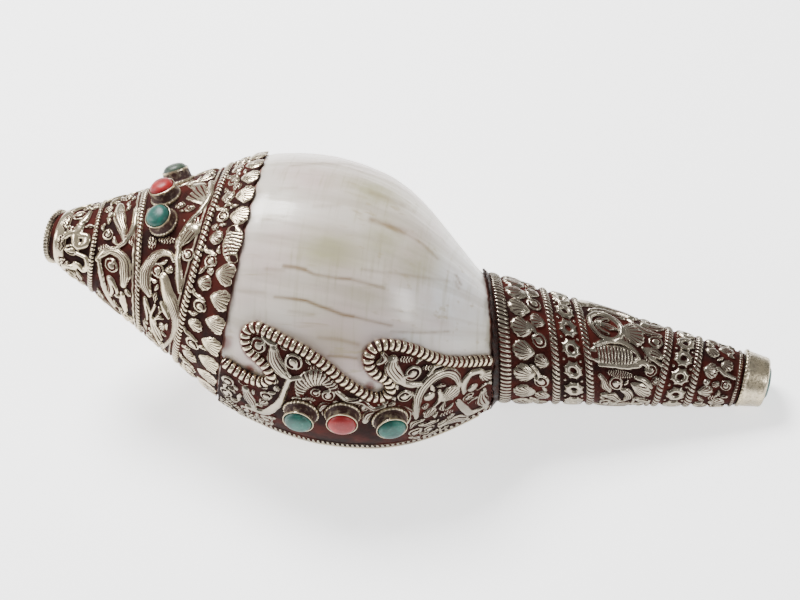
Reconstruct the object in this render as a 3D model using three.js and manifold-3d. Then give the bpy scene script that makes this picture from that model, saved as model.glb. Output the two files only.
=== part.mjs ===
// Sacred chank shell dressed as a ritual horn: a white chank lying on its side, with a chased silver
// cap on its spire, a silver mount along its outer lip, a silver sleeve on its siphonal canal, and
// turquoise and coral cabochons in collets.
// Millimetres and degrees. The shell is made lying along X, spire at the left, seen from the back:
// "along" runs from the blowing end to the canal's tip, and "turn" goes round that long axis from the
// outer lip's side (-Y) over the back of the shell (+Z) to the upper side (+Y) and the belly (-Z).
// The whole group is then tipped onto the three places that the real one rests on.
import * as THREE from 'three';
import { mergeVertices } from 'three/addons/utils/BufferGeometryUtils.js';
import Module from 'manifold-3d';

const wasm = await Module();
wasm.setup();

// Driving dimensions
const CLEARANCE = 0.4;            // between a metal sheet and the shell under it
const LIP_TURN = -5;              // where the outer lip ends
const MOUTH_SPAN = 65;            // how far round the aperture's opening goes
const LIP_WALL = 3.4;             // thickness of the shell's outer lip
const APEX_ALONG = -14;           // where the spire's point would be, if it weren't cut off
const HALF_TURN_SHRINK = 0.885;   // how much shorter the whorl is half a turn back from the lip
const HALF_TURN_THIN = 0.94;      // and how much narrower
const SPIRE_START = 1.4;          // cut end of the spire, where the player blows
const CANAL_END = 191.8;          // cut end of the siphonal canal
const BLOW_HOLE = { radius: 4, depth: 22 };
const CAP = { ground: 1.0, columns: 56 };
const COLLAR = { along: 124.3, slant: 4.9 };
const SLEEVE = { radius: 18.4, at: 120, taper: 0.1416, end: 192, relief: 0.9, columns: 28 };
const STEM = { under: 1.9, offset: 3.7, drift: 0.044 };
const LAC_WIDTH = 2.8;
const FERRULE = { start: 192.3, end: 199.4, radius: 8.1, tip: 6.8, recess: 1.6 };
const COLLET = { foot: 4.5, rim: 4.25, inner: 3.95, height: 3.8, floor: 1.2, bead: 0.4 };
const STONE = { radius: 3.65, dome: 2.1 };
const GAP = 0.3;                  // between pieces that touch in the real one
const CAP_STONES = [{ along: 28.9, turn: 116 }, { along: 27.6, turn: 142 }, { along: 29.4, turn: 168 }];
const CAP_STONE_SIZE = 0.88;      // the cap's stones and collets against the lip's
const LIP_STONES = [{ along: 75.7, turn: 36 }, { along: 86.7, turn: 39 }, { along: 99.3, turn: 37 }];
const FLOOR_CUT = 0.5;            // how much is worn flat where the shell stands
const REST = { roll: 39.5, pitch: 11.8 };
const END_LEAN = 0.3;             // slope of the blowing end, which leans ahead on the shell's back

// Colours and finishes
const finish = (color, roughness, metalness = 0) =>
  new THREE.MeshStandardMaterial({ color, roughness, metalness });
const SHELL_WHITE = finish(0xe4ded8, 0.35);
const SILVER = finish(0xb9b5a6, 0.3, 1);
const LAC = finish(0x3a1a14, 0.6);
const TURQUOISE = finish(0x2f8f80, 0.35);
const CORAL = finish(0xc43c40, 0.35);

const { degToRad, lerp, smoothstep, clamp } = THREE.MathUtils;
const cosine = (turn) => Math.cos(degToRad(turn));
const sine = (turn) => Math.sin(degToRad(turn));

// A smooth curve through hand-picked pairs, level beyond its ends.
function curveThrough(pairs) {
  const slope = (i) => {
    const a = pairs[Math.max(i - 1, 0)];
    const b = pairs[Math.min(i + 1, pairs.length - 1)];
    return (b[1] - a[1]) / (b[0] - a[0]);
  };
  return (x) => {
    if (x <= pairs[0][0]) return pairs[0][1];
    const last = pairs.length - 1;
    if (x >= pairs[last][0]) return pairs[last][1];
    const i = pairs.findIndex((pair) => pair[0] > x) - 1;
    const [[x0, y0], [x1, y1]] = [pairs[i], pairs[i + 1]];
    const w = x1 - x0;
    const t = (x - x0) / w;
    const s = 1 - t;
    return (1 + 2 * t) * s * s * y0 + t * s * s * w * slope(i)
      + t * t * (3 - 2 * t) * y1 - t * t * s * w * slope(i + 1);
  };
}

// Two surfaces run into each other without a crease.
function softMax(a, b, reach) {
  const h = Math.max(reach - Math.abs(a - b), 0);
  return Math.max(a, b) + (h * h) / (4 * reach);
}

const bell = (x) => Math.exp(-x * x);
const ripple = (turn, count, shift = 0) => 0.5 + 0.5 * Math.cos(degToRad(turn * count) + shift);
const at = (along, turn, radius) =>
  new THREE.Vector3(along, -radius * cosine(turn), radius * sine(turn));

// The last whorl's outline at the lip: radius from the long axis, against the place along it.
const whorl = curveThrough([
  [40, 27], [50, 33.2], [57, 35.8], [64, 37.6], [71, 39.1], [80, 40], [88, 39.7], [94, 38.9],
  [100, 37.6], [107, 35], [114, 31.2], [120, 27], [127, 21.3], [134, 14.5], [141, 6], [146, 0],
]);
const spire = (along) => 6 + 0.47 * along + 0.0012 * along * along;
const collarAlong = (turn) => COLLAR.along + COLLAR.slant * cosine(turn);
const sleeveRadius = (along) => SLEEVE.radius - SLEEVE.taper * (along - SLEEVE.at);
const backFromLip = (turn) => (((turn - LIP_TURN) % 360) + 360) % 360;

// Radius, seen from the long axis, of a round stem that lies a little to the lip's side of it.
function offAxis(along, turn, radius) {
  const off = STEM.offset - STEM.drift * (along - SLEEVE.at);
  return off * cosine(turn) + Math.sqrt(radius ** 2 - (off * sine(turn)) ** 2);
}

const stem = (along, turn) =>
  offAxis(along, turn, sleeveRadius(Math.max(along, 100)) - STEM.under) * smoothstep(along, 90, 110);

// The whorl "back" degrees before the lip is the same outline, drawn in towards the apex.
function whorlRadius(along, back) {
  const shrink = HALF_TURN_SHRINK ** (back / 180);
  const thin = HALF_TURN_THIN ** (back / 180);
  const grown = thin * whorl((along - APEX_ALONG) / shrink + APEX_ALONG);
  return lerp(spire(along), grown, smoothstep(along, 44, 58));
}

function plainRadius(along, turn, back) {
  const edge = collarAlong(turn);
  const body = whorlRadius(along, back) * (1 - smoothstep(along, edge - 3, edge + 0.5));
  return softMax(body, stem(along, turn), 4);
}

// The outside, with a flat across the aperture from the lip's edge to the belly.
function shellRadius(along, turn) {
  const back = backFromLip(turn);
  const plain = plainRadius(along, turn, back);
  const mouth = 360 - MOUTH_SPAN;
  if (back <= mouth) return plain;
  const lip = plainRadius(along, LIP_TURN, 0);
  const belly = plainRadius(along, LIP_TURN - MOUTH_SPAN, mouth);
  const fromLip = 360 - back;
  const chord = (lip * belly * sine(MOUTH_SPAN))
    / (lip * sine(fromLip) + belly * sine(MOUTH_SPAN - fromLip));
  const open = smoothstep(along, 44, 56) * (1 - smoothstep(along, 124, 129));
  return lerp(plain, chord, open);
}

// A closed skin over a row of rings that all have the same number of points. Its two ends are filled
// with a fan, or with a strip where the ring is a long thin one that folds back on itself.
function loft(rings, strip = false) {
  const count = rings[0].length;
  const positions = [];
  const triangle = (a, b, c) => {
    if (a.equals(b) || b.equals(c) || c.equals(a)) return;
    positions.push(...a, ...b, ...c);
  };
  for (let i = 0; i + 1 < rings.length; i += 1) {
    for (let j = 0; j < count; j += 1) {
      const k = (j + 1) % count;
      triangle(rings[i][j], rings[i][k], rings[i + 1][k]);
      triangle(rings[i][j], rings[i + 1][k], rings[i + 1][j]);
    }
  }
  const fill = (ring, flip) => {
    const centre = ring.reduce((sum, p) => sum.add(p), new THREE.Vector3()).divideScalar(count);
    const face = (a, b, c) => (flip ? triangle(a, c, b) : triangle(a, b, c));
    if (!strip) ring.forEach((p, j) => face(centre, ring[(j + 1) % count], p));
    else {
      for (let j = 0; j + 1 < count / 2; j += 1) {
        face(ring[j], ring[count - 1 - j], ring[j + 1]);
        face(ring[j + 1], ring[count - 1 - j], ring[count - 2 - j]);
      }
    }
  };
  fill(rings[0], false);
  fill(rings[rings.length - 1], true);
  const skin = new THREE.BufferGeometry();
  skin.setAttribute('position', new THREE.Float32BufferAttribute(positions, 3));
  return solidOf(skin);
}

// The same over rings that go round and meet again.
function loop(rings) {
  const count = rings[0].length;
  const positions = [];
  rings.forEach((ring, i) => {
    const next = rings[(i + 1) % rings.length];
    for (let j = 0; j < count; j += 1) {
      const k = (j + 1) % count;
      positions.push(...ring[j], ...ring[k], ...next[k], ...ring[j], ...next[k], ...next[j]);
    }
  });
  const skin = new THREE.BufferGeometry();
  skin.setAttribute('position', new THREE.Float32BufferAttribute(positions, 3));
  return solidOf(skin);
}

function solidOf(geometry) {
  const bare = geometry.index ? geometry.toNonIndexed() : geometry;
  bare.deleteAttribute('normal');
  bare.deleteAttribute('uv');
  const merged = mergeVertices(bare, 1e-3);
  const made = (triVerts) => new wasm.Manifold(new wasm.Mesh({
    numProp: 3, vertProperties: merged.attributes.position.array, triVerts,
  }));
  const solid = made(new Uint32Array(merged.index.array));
  if (solid.volume() > 0) return solid;
  return made(new Uint32Array(merged.index.array).reverse());
}

function piece(name, solid, material) {
  const { vertProperties, triVerts } = solid.getMesh();
  const geometry = new THREE.BufferGeometry();
  geometry.setAttribute('position', new THREE.BufferAttribute(vertProperties, 3));
  geometry.setIndex(new THREE.BufferAttribute(triVerts, 1));
  geometry.computeVertexNormals();
  const mesh = new THREE.Mesh(geometry, material);
  mesh.name = name;
  return mesh;
}

const turnsRound = (count) => Array.from({ length: count }, (_, i) => (360 * i) / count);
const ringOf = (turns, alongOf, radiusOf) => turns.map((turn) => {
  const along = alongOf(turn);
  return at(along, turn, radiusOf(along, turn));
});

// The blowing end isn't cut square: the rings near it lean.
function leaning(ring, station) {
  const lean = END_LEAN * (1 - smoothstep(station, 0, 9));
  ring.forEach((p) => p.setX(p.x - lean * p.z));
  return ring;
}

// Shell
const SHELL_STATIONS = [
  SPIRE_START, 12, 24, 36, 44, 50, 56, 62, 68, 74, 80, 86, 92, 98, 103, 108, 112, 116, 119, 122, 125,
  128, 131, 136, 164, CANAL_END,
];
const SHELL_TURNS = [
  -5, 0, 8, 16, 24, 32, 40, 48, 56, 64, 72, 80, 89, 98, 107, 116, 125, 134, 143, 152, 161, 170, 180,
  190, 200, 210, 220, 230, 240, 250, 260, 270, 280, 290, 303, 316, 329, 342,
];

function envelope(grow) {
  const rings = SHELL_STATIONS.map((along) =>
    ringOf(SHELL_TURNS, () => along, (a, turn) => shellRadius(a, turn) + grow));
  const reach = new THREE.Vector3(grow, 0, 0);
  rings[0].forEach((p) => p.sub(reach));
  rings[rings.length - 1].forEach((p) => p.add(reach));
  return loft(rings.map((ring, i) => leaning(ring, SHELL_STATIONS[i])));
}

// The hollow that the animal lived in: it opens at the mouth and winds half a turn back.
const CAVITY = { front: 60, end: 127, reach: 185, above: 8 };
const CAVITY_BACKS = [-68, -56, -42, -28, -14, -0.4, 0.4, 12, 30, 50, 70, 90, 110, 130, 150, 166, 178];
const CAVITY_STEPS = 12;

function columella(along, back) {
  const previous = 0.93 * whorlRadius(along, 360 + back) - 2;
  const pillar = 9 + 0.8 * Math.cos((along - back / 20) * 0.95) * bell((along - 98) / 10);
  return softMax(previous, pillar, 3);
}

function cavitySection(back, inset) {
  const deep = Math.sqrt(Math.max(1 - (Math.max(back, 0) / CAVITY.reach) ** 2, 0));
  const shrink = HALF_TURN_SHRINK ** (Math.max(back, 0) / 180);
  const drawnIn = (along) => (along - APEX_ALONG) * shrink + APEX_ALONG;
  const front = drawnIn(lerp(75, CAVITY.front, deep)) + inset;
  const end = drawnIn(lerp(105, CAVITY.end, deep)) - inset;
  const outer = [];
  const inner = [];
  for (let i = 0; i <= CAVITY_STEPS; i += 1) {
    const v = i / CAVITY_STEPS;
    const along = lerp(front, end, v);
    const round = Math.sqrt(4 * v * (1 - v));
    const turn = LIP_TURN + back;
    const roof = back < 0
      ? shellRadius(along, turn) + CAVITY.above
      : plainRadius(along, turn, back) - LIP_WALL - inset;
    const rise = smoothstep(-back, 4, 62);
    const floor = Math.min(lerp(columella(along, back), roof, rise) + inset, roof - 1);
    const middle = (roof + floor) / 2;
    const half = ((roof - floor) / 2) * round * deep;
    outer.push(at(along, turn, back < 0 ? lerp(middle, roof, Math.min(round * 2, 1)) : middle + half));
    inner.push(at(along, turn, back < 0 ? lerp(middle, floor, round) : middle - half));
  }
  return [...outer, ...inner.reverse()];
}

const cavity = (inset) => loft(CAVITY_BACKS.map((back) => cavitySection(back, inset)), true);

// A round bar along the long axis, for bores and recesses.
function bar(radius, from, to, sides = 16) {
  const turns = turnsRound(sides);
  return loft([from, to].map((along) => ringOf(turns, () => along, () => radius)));
}

function shellSolid(grow) {
  const bore = bar(BLOW_HOLE.radius - grow, -5, BLOW_HOLE.depth, 12);
  return envelope(grow).subtract(cavity(grow)).subtract(bore);
}

const shell = shellSolid(0);
const shellClearance = shellSolid(CLEARANCE);
const core = envelope(CLEARANCE);

// Silver sheets lie over the shell with the chased work standing up from them. Each band of the cap is
// a little aslant, which the "slant" curve gives for the place along it.
const capSlant = curveThrough([
  [0, 0], [9.5, 0.4], [23.2, 3.2], [31, 0.6], [38.8, -2], [46, -1], [51.3, 0],
]);
const CAP_ROPES = [9.5, 23.2, 38.8];
const CAP_STATIONS = [
  0, 4, 7.6, 9.5, 11.4, 16, 21.3, 23.2, 25.1, 31, 36.9, 38.8, 40.7, 43.2, 45.4, 48, 50.6, 51.3,
];
const SCALLOPS = 28;

function capRelief(mid, turn) {
  const near = CAP_STONES.some((stone) => Math.abs(stone.turn - turn) < 16) && mid > 24 && mid < 36;
  if (near) return 0;
  const rope = Math.max(...CAP_ROPES.map((rope) => 0.9 * bell((mid - rope) / 1.1)));
  const scallop = 1.2 * bell((mid - 48) / 2.2) * ripple(turn, SCALLOPS);
  const small = 0.9 * bell((mid - 43.2) / 1.8) * ripple(turn, SCALLOPS, Math.PI);
  const scrolls = 0.8 * bell((mid - 31) / 3.5) * ripple(turn, 12)
    + 0.7 * bell((mid - 16) / 3.5) * ripple(turn, 12, Math.PI);
  return Math.max(rope, scallop, small, scrolls);
}

function apexCap() {
  const turns = turnsRound(CAP.columns);
  const rings = CAP_STATIONS.map((mid) => leaning(ringOf(
    turns,
    (turn) => mid + capSlant(mid) * cosine(turn),
    (along, turn) => shellRadius(along, turn) + CAP.ground + capRelief(mid, turn),
  ), mid));
  return loft(rings).subtract(core).subtract(bar(BLOW_HOLE.radius + 1, -5, 5, 16));
}

// The blowing end: a flat ring with a milled rim, set just off the end of the cap.
const RING = { radius: 7.7, from: -1.6, to: -0.3, teeth: 24 };

function mouthpieceRing() {
  const teeth = turnsRound(2 * RING.teeth);
  const rings = [RING.from, RING.to].map((along) =>
    leaning(teeth.map((turn, i) => at(along, turn, RING.radius - 0.35 * (i % 2))), along));
  return loft(rings).subtract(bar(BLOW_HOLE.radius, RING.from - 4, RING.to + 4, 16));
}

// The sleeve's first bands run with its slanting collar, and its last ones square to its own axis.
const sleeveSlant = (mid) => COLLAR.slant * (1 - smoothstep(mid, 150, 172));
const SLEEVE_ROPES = [125.4, 140, 149.3, 171.6, 180.6, 191];
const SLEEVE_STATIONS = [
  124.3, 125.4, 127, 130.2, 133, 135.6, 138.2, 140, 141.8, 144.7, 147.5, 149.3, 151.1, 160, 169.8,
  171.6, 173.4, 176.1, 178.8, 180.6, 182.4, 186, 189.4, 191, 192,
];
const ROSETTES = 14;

function sleeveRelief(mid, turn) {
  const rope = Math.max(...SLEEVE_ROPES.map((rope) => 0.9 * bell((mid - rope) / 1.1)));
  const bosses = [[130.2, 2, 0], [135.6, 1.8, Math.PI], [144.7, 1.8, 0], [176.1, 1.7, 0], [186, 2.4, 0]];
  const boss = Math.max(...bosses.map(([place, width, shift]) =>
    0.9 * bell((mid - place) / width) * ripple(turn, ROSETTES, shift)));
  const panel = 1.1 * bell((mid - 160) / 6) * ripple(turn, 4, Math.PI / 4);
  return Math.max(rope, boss, panel);
}

function canalSleeve() {
  const turns = turnsRound(SLEEVE.columns);
  const rings = SLEEVE_STATIONS.map((mid) => ringOf(
    turns,
    (turn) => mid + sleeveSlant(mid) * cosine(turn),
    (along, turn) => offAxis(along, turn, sleeveRadius(along) - SLEEVE.relief + sleeveRelief(mid, turn)),
  ));
  return loft(rings).subtract(core);
}

// Dark lac fills the joint between the shell and the sleeve's collar.
function lacSeam() {
  const section = (turn) => [[LAC_WIDTH, 0.8], [LAC_WIDTH / 2, 1.3], [GAP, 1.1], [GAP, 0], [LAC_WIDTH, 0]]
    .map(([before, proud]) => {
      const along = collarAlong(turn) - before;
      return at(along, turn, shellRadius(along, turn) + 2 * GAP + proud);
    });
  return loop(turnsRound(30).map(section));
}

// The lip mount: a sheet bent round the outer lip, cut along a curling line that a cord-like bead
// follows. The line is given as seen from the back of the shell: along, and up from the long axis.
const CURL_LINE = [
  [52.4, -25.7], [55.5, -27.1], [60, -28.4], [63.6, -28.2], [65, -26.6], [63.6, -24.6], [60.4, -22.2],
  [57.4, -20.2], [55.8, -17.6], [55.9, -15.2], [58, -13.8], [62, -14.6], [67, -16.1], [73, -17.8],
  [79, -20.4], [84.5, -23.5], [89.5, -25.5], [93.5, -26.4], [96.6, -25.6], [98, -23.2], [96.6, -21],
  [93.4, -19.9], [91, -18], [90.3, -15.4], [91.3, -12.8], [94, -11.3], [98, -10.8], [103, -11.2],
  [108, -12.1], [113, -12.2], [118, -11.2], [122, -10.1],
];
const CORD = { radius: 1.35, steps: 56, sides: 5 };
const MOUNT = { from: 52.2, to: 125, ground: 1.0, lowest: 6.9, highest: 80 };
const BINDING = { from: 58, to: 124, edge: 6, inside: 9, rib: 0.8 };

function turnAtHeight(along, up) {
  let turn = 50;
  for (let i = 0; i < 12; i += 1) {
    turn = THREE.MathUtils.radToDeg(Math.acos(clamp(-up / shellRadius(along, turn), -1, 1)));
  }
  return turn;
}

// A section through a sheet: pairs of points on its two faces.
function sheetSection(along, pairs) {
  const outer = pairs.map(([turn, high]) => at(along, turn, high));
  const inner = pairs.map(([turn, , low]) => at(along, turn, low));
  return [...outer, ...inner.reverse()];
}

function mountSection(along) {
  const turns = SHELL_TURNS.filter((turn) => turn > MOUNT.lowest && turn <= MOUNT.highest);
  return sheetSection(along, [...turns.reverse(), MOUNT.lowest].map((turn) => {
    const radius = shellRadius(along, turn);
    return [turn, radius + MOUNT.ground, radius + CLEARANCE];
  }));
}

// The binding is folded over the lip's edge, with a rib where it meets the mount.
function bindingSection(along) {
  const outside = [BINDING.edge, BINDING.edge - 2, 0, LIP_TURN].map((turn, i) => {
    const radius = plainRadius(along, turn, backFromLip(turn));
    return [turn, radius + MOUNT.ground + (i < 2 ? BINDING.rib : 0), radius + CLEARANCE];
  });
  const lip = plainRadius(along, LIP_TURN, 0);
  const past = LIP_TURN - 1.6;
  const inside = [0.5, BINDING.inside].map((back) => {
    const radius = plainRadius(along, LIP_TURN + back, back) - LIP_WALL;
    return [LIP_TURN + back, radius - 1.1, radius];
  });
  return sheetSection(along, [
    ...outside,
    [past, lip + MOUNT.ground, lip - LIP_WALL / 2],
    [past, lip - LIP_WALL - 1.2, lip - LIP_WALL / 2],
    ...inside,
  ]);
}

// A row of sections with the shell's own stations between its ends, so that the facets agree.
function sheetBetween(from, to, section) {
  const between = SHELL_STATIONS.filter((along) => along > from + 1 && along < to - 1);
  return loft([from, ...between, to].map(section), true);
}

function cordAlong(points) {
  const path = new THREE.CatmullRomCurve3(points);
  const frames = path.computeFrenetFrames(CORD.steps, false);
  const rings = frames.tangents.map((_, i) => {
    const centre = path.getPointAt(i / CORD.steps);
    const radius = CORD.radius * (i % 2 ? 0.82 : 1);
    return turnsRound(CORD.sides).map((turn) => centre.clone()
      .addScaledVector(frames.normals[i], radius * cosine(turn))
      .addScaledVector(frames.binormals[i], radius * sine(turn)));
  });
  return loft(rings);
}

function lipMount() {
  const outline = new THREE.Shape([
    ...CURL_LINE, [MOUNT.to + 8, -10.1], [MOUNT.to + 8, -60], [MOUNT.from, -60], [MOUNT.from, -25.6],
  ].map(([along, up]) => new THREE.Vector2(along, up)));
  const cutter = solidOf(new THREE.ExtrudeGeometry(outline, { depth: 90, bevelEnabled: false })
    .translate(0, 0, -30));
  const sheet = sheetBetween(MOUNT.from, MOUNT.to, mountSection);
  const cord = cordAlong(CURL_LINE.map(([along, up]) => {
    const turn = turnAtHeight(along, up);
    return at(along, turn, shellRadius(along, turn) + 0.9);
  }));
  return sheet.intersect(cutter).add(cord).subtract(collar()).subtract(shellClearance);
}

const collar = () => loft([-LAC_WIDTH - CLEARANCE, 20].map((shift) =>
  ringOf(turnsRound(28), (turn) => collarAlong(turn) + shift, () => 60)));

const lipBinding = () =>
  sheetBetween(BINDING.from, BINDING.to, bindingSection).subtract(collar()).subtract(shellClearance);

// Stones in collets. Each is made standing on the silver with its axis along the surface's normal.
function lathe(profile, sides) {
  const points = profile.map(([radius, up]) => new THREE.Vector2(radius, up));
  return new THREE.LatheGeometry(points, sides).rotateX(Math.PI / 2);
}

function stoodOn(geometry, along, turn) {
  const radius = (a, t) => at(a, t, shellRadius(a, t) + CAP.ground);
  const foot = radius(along, turn);
  const across = radius(along, turn + 6).sub(radius(along, turn - 6));
  const lengthwise = radius(along + 3, turn).sub(radius(along - 3, turn));
  const normal = across.cross(lengthwise).normalize();
  if (normal.dot(foot.clone().setX(0)) < 0) normal.negate();
  const turned = new THREE.Quaternion().setFromUnitVectors(new THREE.Vector3(0, 0, 1), normal);
  return solidOf(geometry.applyQuaternion(turned).translate(foot.x, foot.y, foot.z));
}

const colletSeat = envelope(CAP.ground + GAP);

function collet(along, turn, size) {
  const { foot, rim, inner, height, floor, bead } = COLLET;
  const profile = [
    [0, -1.5], [foot + bead, -1.5], [foot + bead, 0.9], [foot, 1.3], [rim, height],
    [inner, height], [inner, floor], [0, floor],
  ].map(([radius, up]) => [radius * size, up]);
  return stoodOn(lathe(profile, 12), along, turn).subtract(colletSeat);
}

function cabochon(along, turn, size) {
  const dome = STONE.dome;
  const radius = STONE.radius * size;
  const girdle = COLLET.height - 0.4;
  const profile = [[0, COLLET.floor + GAP], [radius, COLLET.floor + GAP], [radius, girdle]];
  for (const angle of [30, 60]) profile.push([radius * cosine(angle), girdle + dome * sine(angle)]);
  profile.push([0, girdle + dome]);
  return stoodOn(lathe(profile, 10), along, turn);
}

// The ferrule closes the end of the canal and holds a stone.
const TIP_STONE = { radius: 5, rise: 1.4 };

function tipFerrule() {
  const { start, end, radius, tip, recess } = FERRULE;
  const cup = loft([[start, radius], [end - 1.2, tip + 0.3], [end, tip - 0.4]].map(([along, r]) =>
    ringOf(turnsRound(28), () => along, () => r)));
  return cup.subtract(bar(TIP_STONE.radius + GAP, end - recess, end + 1, 20));
}

function tipStone() {
  const { end, recess } = FERRULE;
  const { radius, rise } = TIP_STONE;
  const rings = [[end - recess + GAP, radius], [end - 0.3, radius], [end + rise * 0.6, radius * 0.75],
    [end + rise, radius * 0.3]];
  return loft(rings.map(([along, r]) => ringOf(turnsRound(18), () => along, () => r)));
}

const solids = [
  ['shell', shell, SHELL_WHITE],
  ['apex_cap', apexCap(), SILVER],
  ['mouthpiece_ring', mouthpieceRing(), SILVER],
  ['canal_sleeve', canalSleeve(), SILVER],
  ['tip_ferrule', tipFerrule(), SILVER],
  ['tip_stone', tipStone(), TURQUOISE],
  ['lip_mount', lipMount(), SILVER],
  ['lip_binding', lipBinding(), SILVER],
  ['lac_seam', lacSeam(), LAC],
];
for (const [group, stones, size] of [['cap', CAP_STONES, CAP_STONE_SIZE], ['lip', LIP_STONES, 1]]) {
  stones.forEach(({ along, turn }, i) => {
    solids.push([`${group}_collet_${i + 1}`, collet(along, turn, size), SILVER]);
    solids.push([`${group}_stone_${i + 1}`, cabochon(along, turn, size), i === 1 ? CORAL : TURQUOISE]);
  });
}

// The whole group is tipped to stand on its lip, its belly and the end of its sleeve, each worn flat.
const group = new THREE.Group();
group.name = 'sacred_chank_shell';
group.rotation.set(degToRad(REST.roll), degToRad(REST.pitch), 0, 'YXZ');
group.updateMatrix();
solids.forEach(([name, solid, material]) => group.add(piece(name, solid, material)));
const lowest = new THREE.Box3().setFromObject(group, true).min.z;
const ground = solidOf(new THREE.BoxGeometry(400, 200, 20)
  .translate(100, 0, lowest + FLOOR_CUT - 10)
  .applyMatrix4(group.matrix.clone().invert()));

group.clear();
solids.forEach(([name, solid, material]) => group.add(piece(name, solid.subtract(ground), material)));
const standing = new THREE.Box3().setFromObject(group, true);
const middle = standing.getCenter(new THREE.Vector3());
group.position.set(-middle.x, -middle.y, -standing.min.z);

export default group;
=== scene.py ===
# A sacred chank shell dressed as a ritual horn, in chased silver with turquoise and coral.
import math

import bpy
import numpy as np
from mathutils import Matrix, Vector


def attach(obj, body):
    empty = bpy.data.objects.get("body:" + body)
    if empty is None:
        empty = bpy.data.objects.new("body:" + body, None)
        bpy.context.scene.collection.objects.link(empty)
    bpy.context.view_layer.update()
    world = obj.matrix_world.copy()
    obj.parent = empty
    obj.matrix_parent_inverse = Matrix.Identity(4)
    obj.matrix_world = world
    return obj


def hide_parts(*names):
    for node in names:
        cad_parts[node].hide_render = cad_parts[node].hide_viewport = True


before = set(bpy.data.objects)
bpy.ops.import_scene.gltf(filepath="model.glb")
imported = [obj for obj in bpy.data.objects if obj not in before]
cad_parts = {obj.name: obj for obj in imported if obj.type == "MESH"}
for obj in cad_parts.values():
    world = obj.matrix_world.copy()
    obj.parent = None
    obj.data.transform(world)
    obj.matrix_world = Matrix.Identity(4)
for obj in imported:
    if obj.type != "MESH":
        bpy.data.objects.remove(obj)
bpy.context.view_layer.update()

# How the shell lies, and the camera
# The shell lies rolled onto its lip and pitched down to the end of its sleeve. Its pieces are worked
# out on its own axes, in millimetres: "along" from the blowing end, and "turn" in degrees round the
# long axis, from the lip's side over the back. The camera looks straight down on its back.
MM = 0.001
FLOOR_GAP = 0.0002
PITCH = math.radians(11.8)
ROLL = math.radians(39.5)
PLACE = (-96.92, 4.3, 47.14)
LIE = np.array(Matrix.Rotation(PITCH, 3, "Y") @ Matrix.Rotation(ROLL, 3, "X"))
LOOK_AT = (95.6, 1.93, 0)
CAMERA_AWAY = 0.75
PHOTO_WIDTH = 0.2219
PHOTO_TILT = math.radians(11.68)


def laid(points):
    """Points on the shell's own axes, in millimetres, where the shell lies, in metres. What would
    reach below the floor is worn flat on it."""
    placed = (np.asarray(points, float) @ LIE.T + PLACE) * MM
    placed[..., 2] = np.maximum(placed[..., 2], FLOOR_GAP)
    return placed


camera = bpy.data.objects.new("camera", bpy.data.cameras.new("camera"))
bpy.context.collection.objects.link(camera)
to_camera = Vector(LIE[:, 2])
image_right = Vector(LIE[:, 0]) * math.cos(PHOTO_TILT) + Vector(LIE[:, 1]) * math.sin(PHOTO_TILT)
image_up = to_camera.cross(image_right)
camera.matrix_world = Matrix.Translation(Vector(laid(LOOK_AT)) + to_camera * CAMERA_AWAY) @ Matrix(
    (image_right, image_up, to_camera)
).transposed().to_4x4()
camera.data.lens = camera.data.sensor_width * CAMERA_AWAY / PHOTO_WIDTH
camera.data.clip_start = 0.01
camera.data.clip_end = 20
bpy.context.scene.camera = camera

# Floor and light
# A white sweep of paper under soft boxes, one large above and two at the sides.
FLOOR_SIZE = 6
LIGHTS = [
    ("overhead", (-0.4, 0.45, 0.85), 0.4, 25),
    ("left", (-0.9, -0.1, 0.4), 0.3, 6),
    ("right", (0.75, -0.3, 0.5), 0.2, 3),
]


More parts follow.
